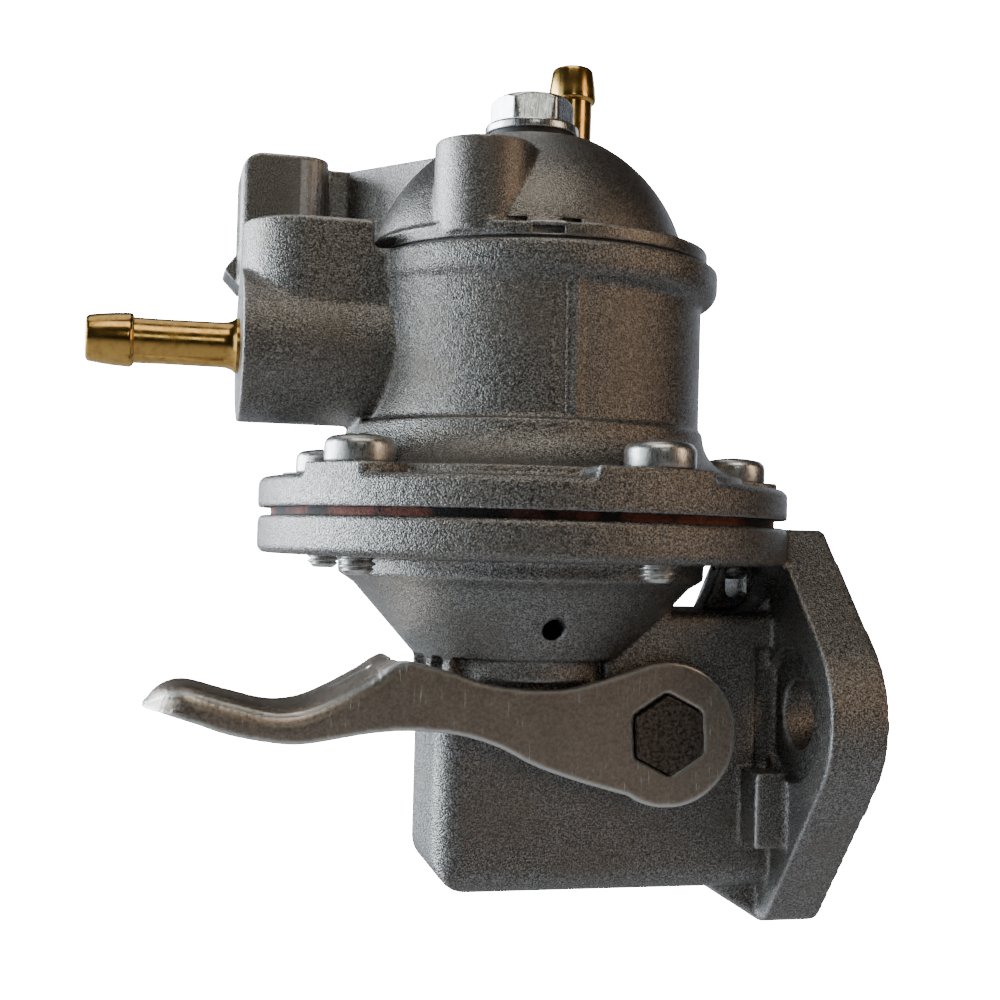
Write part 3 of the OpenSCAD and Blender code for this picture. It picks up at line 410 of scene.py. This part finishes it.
def plain_finish(name, light, dark, metallic, roughness, grain, depth):
    """A surface with grain of one size, for the pieces that are small or held inside."""
    made = Finish(name, metallic, sum(roughness) / 2)
    fine = made.noise(grain, detail=4.0, roughness=0.6)
    made.colour(made.mix(made.spread(fine, low=0.35, high=0.65), dark, light))
    made.gloss(made.spread(fine, low=0.3, high=0.7, to_low=roughness[0], to_high=roughness[1]))
    made.bump(fine, depth)
    return made.material


def stamped_finish(name, light, dark, rubbed_and_highlight):
    """Tumbled sheet steel: a dull grain, short upright scratches, and bends painted pale, as wear and as a
    painted highlight.
    """
    made = Finish(name, metallic=1.0, roughness=0.4)
    fine = made.noise(size=0.5, detail=3.0, roughness=0.6)
    scratch = made.noise(size=6.0, detail=3.0, roughness=0.55, vector=made.stretched(SCRATCHES))
    cloud = made.noise(size=9.0, detail=3.0, roughness=0.6)
    lines = made.times(made.spread(scratch, low=0.64, high=0.7), made.spread(cloud, low=0.42, high=0.6))
    tone = made.mix(made.spread(fine, low=0.35, high=0.65), dark, light)
    tone = made.mix(lines, tone, rubbed_and_highlight)
    # Bends and outside edges painted pale: wear, and a painted highlight along the folds
    tone = made.mix(made.wear_and_highlight_edges(low=0.01, high=0.1, most=0.8), tone, rubbed_and_highlight)
    made.colour(tone)
    both = made.add(fine, cloud, share=0.6)
    made.gloss(made.spread(both, low=0.6, high=1.0, to_low=0.32, to_high=0.48))
    made.bump(made.add(fine, scratch, share=0.8), depth=0.03)
    return made.material


def cloth_finish(name, red, black, pale):
    """The cut edge of rubbered cloth: red, with long black lengths of painted shade, and pale where it
    frays.
    """
    made = Finish(name, metallic=0.0, roughness=0.7)
    weave = made.noise(size=0.5, detail=3.0, roughness=0.6)
    painted_shade_lengths = made.noise(size=16.0, detail=3.0, roughness=0.6)
    fray = made.noise(size=5.0, detail=4.0, roughness=0.7)
    tone = made.mix(made.spread(weave, low=0.3, high=0.7, to_high=0.6), red, black)
    tone = made.mix(made.spread(fray, low=0.62, high=0.72, to_high=0.8), tone, pale)
    # Long black lengths along the edge: painted shade of the recess between the flanges
    tone = made.mix(made.spread(painted_shade_lengths, low=0.44, high=0.54), tone, black)
    made.colour(tone)
    made.bump(made.add(weave, fray, share=0.5), depth=0.15)
    return made.material


CAST = cast_finish(
    "cast_aluminium", light=(0.4, 0.395, 0.385), dark=(0.1, 0.095, 0.09), patch=(0.2, 0.175, 0.145),
    grain=0.27, depth=0.15)
COVER_CAST = cast_finish(
    "cast_cover", light=(0.36, 0.35, 0.335), dark=(0.13, 0.122, 0.115), patch=(0.2, 0.175, 0.15),
    grain=0.25, depth=0.09)
BRIGHT = plated_finish(
    "bright_zinc", light=(0.86, 0.87, 0.88), dark=(0.66, 0.67, 0.66), smoothest=0.16, roughest=0.34)
SCREW = plated_finish(
    "screw_zinc", light=(0.72, 0.72, 0.7), dark=(0.4, 0.4, 0.38), smoothest=0.22, roughest=0.42)
# The outlet's brass is the same brass as the inlet's, painted darker: painted shade on the lying pipe
SHADED_BRASS_LYING = brass_finish(
    "brass_outlet_shaded", along=RINGS_ROUND_X, light=(0.6, 0.36, 0.1), dark=(0.38, 0.21, 0.055))
BRASS_UPRIGHT = brass_finish(
    "brass_inlet", along=RINGS_ROUND_Z, light=(0.8, 0.5, 0.15), dark=(0.52, 0.29, 0.08))
LEVER = stamped_finish(
    "stamped_steel", light=(0.45, 0.385, 0.325), dark=(0.33, 0.28, 0.235), rubbed_and_highlight=(0.72, 0.74, 0.72))
STAKED = plain_finish(
    "staked_steel", light=(0.2, 0.17, 0.14), dark=(0.05, 0.042, 0.035), metallic=1.0,
    roughness=(0.4, 0.65), grain=0.6, depth=0.12)
CLOTH = cloth_finish(
    "diaphragm_cloth", red=(0.3, 0.085, 0.05), black=(0.012, 0.01, 0.012), pale=(0.5, 0.34, 0.26))
RUBBER = plain_finish(
    "black_rubber", light=(0.035, 0.034, 0.033), dark=(0.012, 0.012, 0.012), metallic=0.0,
    roughness=(0.5, 0.7), grain=0.4, depth=0.02)
WIRE = plain_finish(
    "spring_wire", light=(0.5, 0.5, 0.5), dark=(0.32, 0.31, 0.3), metallic=1.0,
    roughness=(0.25, 0.42), grain=0.5, depth=0.01)
GAUZE = plain_finish(
    "brass_gauze", light=(0.7, 0.53, 0.26), dark=(0.42, 0.3, 0.12), metallic=1.0,
    roughness=(0.3, 0.5), grain=0.4, depth=0.03)
INNER = plain_finish(
    "inner_steel", light=(0.6, 0.6, 0.59), dark=(0.38, 0.37, 0.36), metallic=1.0,
    roughness=(0.28, 0.46), grain=0.8, depth=0.02)

# The finish of each material slot; the slots of pieces held inside that aren't here get INNER
FINISHES = {
    "cast_aluminium": CAST,
    "bright_steel": BRIGHT,
    "screw_steel": SCREW,
    "brass_pipe": SHADED_BRASS_LYING,
    "lever_steel": LEVER,
    "dark_steel": STAKED,
    "diaphragm_cloth": CLOTH,
    "black_rubber": RUBBER,
    "spring_steel": WIRE,
    "gauze_brass": GAUZE,
}


def dress_nodes():
    """Gives each CAD node the finish of its material slot."""
    for node in nodes.values():
        for place in node.material_slots:
            slot_name = place.material.name.split(".")[0]
            place.material = FINISHES.get(slot_name, INNER)


dress_nodes()


# Pieces made from their CAD meshes

WELD_DISTANCE = 1e-6
ROUND_FACTOR = 0.5
EDGE_ROUNDS = 2


def welded_copy(node_name, piece_name):
    """A new object with a node's mesh, its split corners joined again."""
    form = bmesh.new()
    form.from_mesh(nodes[node_name].data)
    bmesh.ops.remove_doubles(form, verts=form.verts, dist=WELD_DISTANCE)
    return formed(piece_name, form)


def settled(piece):
    """Makes the result of a piece's modifiers its mesh."""
    graph = bpy.context.evaluated_depsgraph_get()
    mesh = bpy.data.meshes.new_from_object(piece.evaluated_get(graph))
    piece.modifiers.clear()
    piece.data = mesh


def smooth_finish(piece, finish):
    """Smooth shading all over, and one finish."""
    for face in piece.data.polygons:
        face.use_smooth = True
    piece.data.materials.clear()
    piece.data.materials.append(finish)


def mark_edges(mesh):
    """Stores how far each vertex bulges out of its neighbours, evened out, as the EDGE_BULGE attribute."""
    places = np.empty(len(mesh.vertices) * 3)
    mesh.vertices.foreach_get("co", places)
    places = places.reshape(-1, 3)
    normals = np.empty(len(mesh.vertices) * 3)
    mesh.vertex_normals.foreach_get("vector", normals)
    normals = normals.reshape(-1, 3)
    ends = np.empty(len(mesh.edges) * 2, dtype=np.int64)
    mesh.edges.foreach_get("vertices", ends)
    first, second = ends.reshape(-1, 2).T
    count = np.maximum(np.bincount(ends, minlength=len(places)), 1)

    def neighbours_mean(values):
        total = np.bincount(first, values[second], len(values))
        total = total + np.bincount(second, values[first], len(values))
        return total / count

    mean_place = np.stack([neighbours_mean(places[:, axis]) for axis in range(3)], axis=1)
    spacing = np.linalg.norm(places[first] - places[second], axis=1).mean()
    bulge = ((places - mean_place) * normals).sum(axis=1) / spacing
    for _ in range(EDGE_ROUNDS):
        bulge = 0.5 * bulge + 0.5 * neighbours_mean(bulge)
    attribute = mesh.attributes.new(EDGE_BULGE, "FLOAT", "POINT")
    attribute.data.foreach_set("value", bulge.astype(np.float32))


def softened(node_name, piece_name, finish, voxel, rounds, keep=1.0):
    """Stands for a node, with its edges rounded and this share of its faces kept."""
    piece = welded_copy(node_name, piece_name)
    remesh = piece.modifiers.new("even", "REMESH")
    remesh.mode = "VOXEL"
    remesh.voxel_size = voxel * MM
    smooth = piece.modifiers.new("round", "SMOOTH")
    smooth.factor = ROUND_FACTOR
    smooth.iterations = rounds
    if keep < 1.0:
        lighter = piece.modifiers.new("lighter", "DECIMATE")
        lighter.ratio = keep
    settled(piece)
    mark_edges(piece.data)
    smooth_finish(piece, finish)
    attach(piece, nodes[node_name]["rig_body"])
    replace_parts(piece, node_name)
    return piece


def carve(piece, cutter, crossing=False):
    """Takes the cutter's space out of a piece; crossing says that the cutter's own parts overlap."""
    cut = piece.modifiers.new("cut", "BOOLEAN")
    cut.operation = "DIFFERENCE"
    cut.solver = "EXACT"
    cut.use_self = crossing
    cut.object = cutter
    settled(piece)
    bpy.data.objects.remove(cutter)


softened("lower_body", "lower_casting", CAST, voxel=0.45, rounds=5, keep=0.5)
upper_casting = softened(
    "upper_body", "upper_casting", CAST, voxel=0.45, rounds=3, keep=0.5)
cover_casting = softened(
    "dome_cover", "cover_casting", COVER_CAST, voxel=0.35, rounds=2, keep=0.6)
softened("rocker_arm", "rocker_forging", INNER, voxel=0.4, rounds=6)


# Keying marks in the cover's lip, cut again with sharp edges

# Each mark: its middle along X, its height, its length and how far from the axis its floor lies
LIP_MARKS = ((-8.6, 47.8, 3.4, 25.0), (-4.0, 46.0, 5.0, 27.3), (0.2, 47.8, 3.2, 25.9))
MARK_HEIGHT = 1.1
MARK_OUTSIDE_Y = -34.0


def marks_cutter():
    """Boxes in the places of the three keying marks."""
    form = bmesh.new()
    for middle, height, length, out in LIP_MARKS:
        box = bmesh.ops.create_cube(form, size=1.0)
        for vertex in box["verts"]:
            vertex.co = point(
                middle + length * vertex.co.x,
                (MARK_OUTSIDE_Y - out) / 2.0 + (-MARK_OUTSIDE_Y - out) * vertex.co.y,
                height + MARK_HEIGHT * vertex.co.z)
    return formed("marks", form)


carve(cover_casting, marks_cutter())


# Flash on the bowl

BOWL_RADIUS = 29.8
BOWL_X = 0.75
FLASH_X = -0.7
FLASH_LEAN = 0.012
FLASH_LOW = 16.6
FLASH_HIGH = 38.4
FLASH_STEP = 0.3
FLASH_NOISE_PLACE = (3.0, 7.0)
FLASH_NOISE_SCALE = 1.4
FLASH_NOISE_SHIFT = 0.35
FLASH_PROUD = 0.2
FLASH_PROUD_CHANGE = 0.28
FLASH_HALF_WIDTH = 0.2
FLASH_WIDTH_CHANGE = 0.1
FLASH_FOOT = 1.6
FLASH_SHOULDER = 0.6
FLASH_ROOT = 0.3


def flash_section(height):
    """The flash's outline at one height: how far across it, and how far out of the bowl's wall."""
    uneven = noise.noise(Vector((*FLASH_NOISE_PLACE, height * FLASH_NOISE_SCALE)))
    proud = FLASH_PROUD + FLASH_PROUD_CHANGE * max(0.0, uneven + FLASH_NOISE_SHIFT)
    half = FLASH_HALF_WIDTH + FLASH_WIDTH_CHANGE * uneven
    return (
        (-half * FLASH_FOOT, -FLASH_ROOT),
        (-half, proud * FLASH_SHOULDER),
        (0.0, proud),
        (half, proud * FLASH_SHOULDER),
        (half * FLASH_FOOT, -FLASH_ROOT),
    )


def add_flash(casting):
    """The thin broken line of flash where the die's halves met, joined to the bowl."""
    form = bmesh.new()
    form.from_mesh(casting.data)
    rows = []
    height = FLASH_LOW
    while height < FLASH_HIGH:
        middle = FLASH_X - FLASH_LEAN * (height - FLASH_LOW)
        row = []
        for across, out in flash_section(height):
            x = middle + across
            wall = BOWL_RADIUS + out
            row.append(form.verts.new(point(x, -math.sqrt(wall ** 2 - (x - BOWL_X) ** 2), height)))
        rows.append(row)
        height += FLASH_STEP
    for below, above in zip(rows, rows[1:]):
        for index in range(len(below)):
            after = (index + 1) % len(below)
            form.faces.new((below[index], below[after], above[after], above[index]))
    form.faces.new(list(reversed(rows[0])))
    form.faces.new(rows[-1])
    form.to_mesh(casting.data)
    form.free()


add_flash(upper_casting)


# Hand lever

LEVER_NEAR_Y = -16.4
LEVER_WIDTH = 21.0
LEVER_TIP_X = -64.7
BEND_RADIUS = 3.6
BEND_STARTS_X = -22.0
BEND_FULL_X = -27.0
TOP_STEP = 0.5
TOP_REACH = 2
NO_LENGTH = 1e-6


def lever_top(places):
    """The highest point of the lever in each short step along X, evened out."""
    highest = {}
    for place in places:
        step = math.floor(place.x / TOP_STEP)
        highest[step] = max(highest.get(step, place.z), place.z)

    def top(x):
        middle = math.floor(x / TOP_STEP)
        steps = range(middle - TOP_REACH, middle + TOP_REACH + 1)
        near = [highest[step] for step in steps if step in highest]
        return sum(near) / len(near)

    return top


def bent(inward, down):
    """Where a point of the square corner lies once the sheet is bent round it."""
    across = BEND_RADIUS - inward
    up = BEND_RADIUS - down
    reach = max(across, up)
    angle = math.radians(45.0) * min(across, up) / reach
    if across >= up:
        across, up = reach * math.cos(angle), reach * math.sin(angle)
    else:
        across, up = reach * math.sin(angle), reach * math.cos(angle)
    return BEND_RADIUS - across, BEND_RADIUS - up


def bend_lever(piece):
    """Rounds the folded edges of the lever's finger, as a press bends sheet."""
    places = [pump_place(vertex.co) for vertex in piece.data.vertices]
    top = lever_top(places)
    tip_radius = LEVER_WIDTH / 2.0
    middle = Vector((LEVER_TIP_X + tip_radius, LEVER_NEAR_Y + tip_radius))
    for vertex, place in zip(piece.data.vertices, places):
        if place.x > BEND_STARTS_X:
            continue
        from_middle = Vector((min(place.x - middle.x, 0.0), place.y - middle.y))
        inward = tip_radius - from_middle.length
        down = top(place.x) - place.z
        if inward >= BEND_RADIUS or down >= BEND_RADIUS or from_middle.length < NO_LENGTH:
            continue
        share = min(1.0, (BEND_STARTS_X - place.x) / (BEND_STARTS_X - BEND_FULL_X))
        new_inward, new_down = bent(max(inward, 0.0), max(down, 0.0))
        shift = from_middle.normalized() * (inward - new_inward) * share
        place.x += shift.x
        place.y += shift.y
        place.z -= (new_down - down) * share
        vertex.co = point(*place)


bend_lever(softened("priming_lever", "stamped_lever", LEVER, voxel=0.35, rounds=3))


# Turned and threaded pieces

UPRIGHT = Matrix.Identity(3)
SHARP_ANGLE = math.radians(38.0)


def ring_piece(name, rows, sides, place, turn, finish, bored=False):
    """A closed form round a line through place: each row gives (radius, height) for an angle."""
    verts = []
    for row in rows:
        for step in range(sides):
            angle = 2.0 * math.pi * step / sides
            radius, height = row(angle)
            from_place = Vector((radius * math.cos(angle), radius * math.sin(angle), height))
            verts.append(point(*(place + turn @ from_place)))
    faces = []
    joins = [(ring, ring + 1) for ring in range(len(rows) - 1)]
    if bored:
        joins.append((len(rows) - 1, 0))
    else:
        faces.append(tuple(reversed(range(sides))))
        faces.append(tuple((len(rows) - 1) * sides + step for step in range(sides)))
    for below, above in joins:
        for step in range(sides):
            after = (step + 1) % sides
            faces.append((
                below * sides + step, below * sides + after,
                above * sides + after, above * sides + step))
    mesh = bpy.data.meshes.new(name)
    mesh.from_pydata(verts, [], faces)
    for face in mesh.polygons:
        face.use_smooth = len(face.vertices) == 4
    mesh.set_sharp_from_angle(angle=SHARP_ANGLE)
    piece = placed(name, mesh)
    mesh.materials.append(finish)
    return piece


def even(radius, height):
    """A row with the same radius all round."""
    return lambda angle: (radius, height)


def profile_rows(profile, radius=0.0, height=0.0):
    """Even rows for pairs of radius and height, counted from the radius and height given here."""
    return [even(radius + out, height + up) for out, up in profile]


def arc_rows(centre_radius, centre_height, radius, start, end, steps):
    """Even rows along an arc of the profile, from start to end degrees."""
    rows = []
    for step in range(steps + 1):
        angle = math.radians(start + (end - start) * step / steps)
        out = centre_radius + radius * math.cos(angle)
        rows.append(even(out, centre_height + radius * math.sin(angle)))
    return rows


# Flange screws

SCREW_COUNT = 5
SCREW_SIDES = 48
SCREW_CIRCLE = 39.7
SCREW_SEAT = 8.22
SCREW_END = -9.2
SCREW_RADIUS = 3.0
SCREW_SHANK_RADIUS = 2.7
SCREW_PITCH = 1.0
SCREW_END_PROFILE = ((0.9, 0.0), (1.7, 0.0))
THREAD_TOP = -5.0
THREAD_STEP = 0.125
THREAD_DEPTH = 0.6
THREAD_SLOPE = 1.5
THREAD_ROOT = 0.2
THREAD_CHAMFER = 1.1
THREAD_RUNOUT = 0.4
HEAD_RADIUS = 5.6
HEAD_HEIGHT = 4.6
HEAD_FOOT_ROUND = 0.4
HEAD_ROUND = 1.7
HEAD_ROUND_DROP = 2.1
CROWN_PROFILE = ((2.4, -0.12), (1.0, 0.0))

# The cross recess, and how far it happens to be turned in the first screw and in each next one
CROSS_HALF_WIDTH = 0.62
CROSS_REACH = 3.5
CROSS_FLOOR_REACH = 0.9
CROSS_EDGE_DEPTH = 0.5
CROSS_DEPTH = 2.1
CROSS_CLEAR = 1.0
CROSS_FIRST_TURN = 0.4
CROSS_NEXT_TURN = 1.3


def thread_row(height):
    """A row of the screw's thread, which turns once in each pitch, with a chamfer at its end."""
    def row(angle):
        phase = (height / SCREW_PITCH - angle / (2.0 * math.pi)) % 1.0
        crest = THREAD_SLOPE * (1.0 - abs(2.0 * phase - 1.0)) - THREAD_ROOT
        crest = min(1.0, max(0.0, crest))
        chamfer = SCREW_RADIUS - THREAD_CHAMFER + (height - SCREW_END)
        return min(SCREW_RADIUS - THREAD_DEPTH * (1.0 - crest), chamfer), height

    return row


def cross_cutter(place, turn_angle, top):
    """The tapered cross that a driver's point leaves in a screw's head."""
    section = [
        (-CROSS_REACH, CROSS_CLEAR),
        (-CROSS_REACH, -CROSS_EDGE_DEPTH),
        (-CROSS_FLOOR_REACH, -CROSS_DEPTH),
        (CROSS_FLOOR_REACH, -CROSS_DEPTH),
        (CROSS_REACH, -CROSS_EDGE_DEPTH),
        (CROSS_REACH, CROSS_CLEAR),
    ]
    form = bmesh.new()
    for quarter in (0.0, math.pi / 2.0):
        turn = Matrix.Rotation(turn_angle + quarter, 3, "Z")
        sides = []
        for across in (-CROSS_HALF_WIDTH, CROSS_HALF_WIDTH):
            side = []
            for along, up in section:
                corner = place + turn @ Vector((along, across, top + up))
                side.append(form.verts.new(point(*corner)))
            sides.append(side)
        form.faces.new(sides[0])
        form.faces.new(list(reversed(sides[1])))
        for index in range(len(section)):
            after = (index + 1) % len(section)
            form.faces.new((sides[0][after], sides[0][index], sides[1][index], sides[1][after]))
    return formed("cross", form)


def pan_screw(index):
    """One flange screw: threaded end, shank and pan head with a cross recess."""
    angle = 2.0 * math.pi * index / SCREW_COUNT
    place = Vector((SCREW_CIRCLE * math.cos(angle), SCREW_CIRCLE * math.sin(angle), 0.0))
    crown = SCREW_SEAT + HEAD_HEIGHT
    rows = profile_rows(SCREW_END_PROFILE, height=SCREW_END)
    height = SCREW_END + THREAD_STEP
    while height < THREAD_TOP:
        rows.append(thread_row(height))
        height += THREAD_STEP
    rows.append(even(SCREW_SHANK_RADIUS, THREAD_TOP + THREAD_RUNOUT))
    rows.append(even(SCREW_SHANK_RADIUS, SCREW_SEAT))
    rows += arc_rows(
        HEAD_RADIUS - HEAD_FOOT_ROUND, SCREW_SEAT + HEAD_FOOT_ROUND, HEAD_FOOT_ROUND,
        start=-90.0, end=0.0, steps=3)
    rows += arc_rows(
        HEAD_RADIUS - HEAD_ROUND, crown - HEAD_ROUND_DROP, HEAD_ROUND, start=0.0, end=76.0, steps=8)
    rows += profile_rows(CROWN_PROFILE, height=crown)
    piece = ring_piece(
        f"flange_screw_{index}", rows, SCREW_SIDES, place, UPRIGHT, SCREW)
    cross_turn = CROSS_FIRST_TURN + CROSS_NEXT_TURN * index
    carve(piece, cross_cutter(place, cross_turn, crown), crossing=True)
    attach(piece, "housing")
    return piece


for screw_index in range(SCREW_COUNT):
    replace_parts(pan_screw(screw_index), "flange_screws")


# Cover bolt

BOLT_SIDES = 144
BOLT_FOOT = 48.3
BOLT_SEAT = 68.22
BOLT_RADIUS = 4.0
BOLT_CHAMFER = 0.8
COLLAR_RADIUS = 8.3
COLLAR_HEIGHT = 1.7
COLLAR_FOOT_ROUND = 0.3
COLLAR_ROUND = 0.55
HEX_FLATS = 13.0
HEX_HEIGHT = 4.9
HEX_TURN = math.radians(-9.7)
HEX_CORNER_BLUNT = 0.12
HEX_FOOT_RADIUS = 7.1
HEX_FOOT_RISE = 0.12
HEX_FULL_RISE = 0.4
HEX_CHAMFER_STEPS = 6
HEX_CHAMFER_DROP = 1.15
HEX_CHAMFER_INSET = 0.35
HEX_CHAMFER_SPREAD = 1.25
HEX_CHAMFER_CURVE = 0.8
DISH_PROFILE = ((5.7, 0.0), (5.3, -0.12), (1.0, -0.12))


def hex_row(height, limit=math.inf):
    """A row of the bolt's hexagon, kept inside the radius that its chamfer leaves."""
    def row(angle):
        off_face = (angle - HEX_TURN) % math.radians(60.0) - math.radians(30.0)
        corner = HEX_FLATS / 2.0 / math.cos(math.radians(30.0)) - HEX_CORNER_BLUNT
        return min(HEX_FLATS / 2.0 / math.cos(off_face), corner, limit), height

    return row


def cover_bolt():
    """The bolt that holds the cover: shank, collar and chamfered hexagon."""
    collar_top = BOLT_SEAT + COLLAR_HEIGHT
    top = collar_top + HEX_HEIGHT
    rows = [
        even(BOLT_RADIUS - BOLT_CHAMFER, BOLT_FOOT),
        even(BOLT_RADIUS, BOLT_FOOT + BOLT_CHAMFER),
        even(BOLT_RADIUS, BOLT_SEAT),
    ]
    rows += arc_rows(
        COLLAR_RADIUS - COLLAR_FOOT_ROUND, BOLT_SEAT + COLLAR_FOOT_ROUND, COLLAR_FOOT_ROUND,
        start=-90.0, end=0.0, steps=3)
    rows += arc_rows(
        COLLAR_RADIUS - COLLAR_ROUND, collar_top - COLLAR_ROUND, COLLAR_ROUND,
        start=0.0, end=80.0, steps=4)
    rows.append(hex_row(collar_top + HEX_FOOT_RISE, HEX_FOOT_RADIUS))
    rows.append(hex_row(collar_top + HEX_FULL_RISE))
    for step in range(HEX_CHAMFER_STEPS + 1):
        drop = HEX_CHAMFER_DROP * (1.0 - step / HEX_CHAMFER_STEPS)
        limit = HEX_FLATS / 2.0 - HEX_CHAMFER_INSET + HEX_CHAMFER_SPREAD * drop ** HEX_CHAMFER_CURVE
        rows.append(hex_row(top - drop, limit))
    rows += profile_rows(DISH_PROFILE, height=top)
    place = Vector((0.0, 0.0, 0.0))
    piece = ring_piece("collar_bolt", rows, BOLT_SIDES, place, UPRIGHT, BRIGHT)
    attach(piece, "housing")
    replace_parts(piece, "cover_bolt")


cover_bolt()


# Hose barbs

PIPE_SIDES = 96
PIPE_LAND = 3.8
PIPE_BARB = 4.5
PIPE_BORE = 2.6
PIPE_DEPTH = 9.0
PIPE_WAIST = 0.06
FOOT_PROFILE = ((0.85, 0.02), (0.85, 0.5), (0.5, 0.9), (0.24, 1.4), (0.08, 2.0), (0.0, 2.7))
SHOULDER_GAP = 0.15
SHOULDER_ROUND = 0.85
SHOULDER_RISE = 0.87

# How much thinner the barb is than its shoulder, at each share of its length
BARB_TAPER = ((0.2, 0.5), (0.45, 0.75))
TIP_THINNER = 0.62
TIP_ROUND = 0.8
BORE_CHAMFER_WIDTH = 0.25
BORE_CHAMFER_DEPTH = 0.3


def hose_barb(name, node_name, length, barb, place, turn, finish):
    """A brass hose barb, bored right through, with a flared foot and a rounded shoulder."""
    shoulder = length - barb
    rows = [even(PIPE_BORE, -PIPE_DEPTH), even(PIPE_LAND, -PIPE_DEPTH), even(PIPE_LAND, 0.0)]
    rows += profile_rows(FOOT_PROFILE, radius=PIPE_LAND)
    rows += [even(PIPE_LAND - PIPE_WAIST, length / 2.0), even(PIPE_LAND, shoulder - SHOULDER_GAP)]
    rows += arc_rows(
        PIPE_BARB - SHOULDER_ROUND, shoulder + SHOULDER_RISE, SHOULDER_ROUND,
        start=-80.0, end=8.0, steps=8)
    rows += [even(PIPE_BARB - thinner, shoulder + share * barb) for thinner, share in BARB_TAPER]
    rows += arc_rows(
        PIPE_BARB - TIP_THINNER - TIP_ROUND, length - TIP_ROUND, TIP_ROUND,
        start=8.0, end=90.0, steps=6)
    rows += [
        even(PIPE_BORE + BORE_CHAMFER_WIDTH, length),
        even(PIPE_BORE, length - BORE_CHAMFER_DEPTH),
    ]
    piece = ring_piece(name, rows, PIPE_SIDES, place, turn, finish, bored=True)
    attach(piece, "housing")
    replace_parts(piece, node_name)


BOSS_ANGLE = math.radians(54.8)
BOSS_REACH = 20.8
BOSS_TOP = 61.32
INLET_PLACE = Vector((BOSS_REACH * math.cos(BOSS_ANGLE), BOSS_REACH * math.sin(BOSS_ANGLE), BOSS_TOP))
OUTLET_PLACE = Vector((-50.22, -1.5, 28.2))
LYING = Matrix.Rotation(math.radians(-90.0), 3, "Y")

hose_barb(
    "outlet_barb", "outlet_pipe", length=24.8, barb=7.8,
    place=OUTLET_PLACE, turn=LYING, finish=SHADED_BRASS_LYING)
hose_barb(
    "inlet_barb", "inlet_pipe", length=25.5, barb=6.7,
    place=INLET_PLACE, turn=UPRIGHT, finish=BRASS_UPRIGHT)


# Springs

# Each spring's joint, the height of its resting end, and the share of its length left at the joint's limit
PRESSED_SPRINGS = {
    "diaphragm_spring": ("diaphragm_stroke", 0.0091, 0.76),
    "rocker_spring": ("rocker_pivot", -0.0278, 0.65),
    "inlet_valve_spring": ("inlet_lift", 0.0391, 0.68),
    "outlet_valve_spring": ("outlet_lift", 0.0495, 0.68),
}


def pressed_spring(spring_name, joint_name, end_height, kept):
    """Stands for a spring with a smoothed copy of its coil; the joint and the resting end are not used."""
    coil = welded_copy(spring_name, spring_name + "_coil")
    smooth_finish(coil, WIRE)
    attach(coil, "housing")
    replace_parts(coil, spring_name)
    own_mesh(coil)


for pressed_name, pressed_values in PRESSED_SPRINGS.items():
    pressed_spring(pressed_name, *pressed_values)
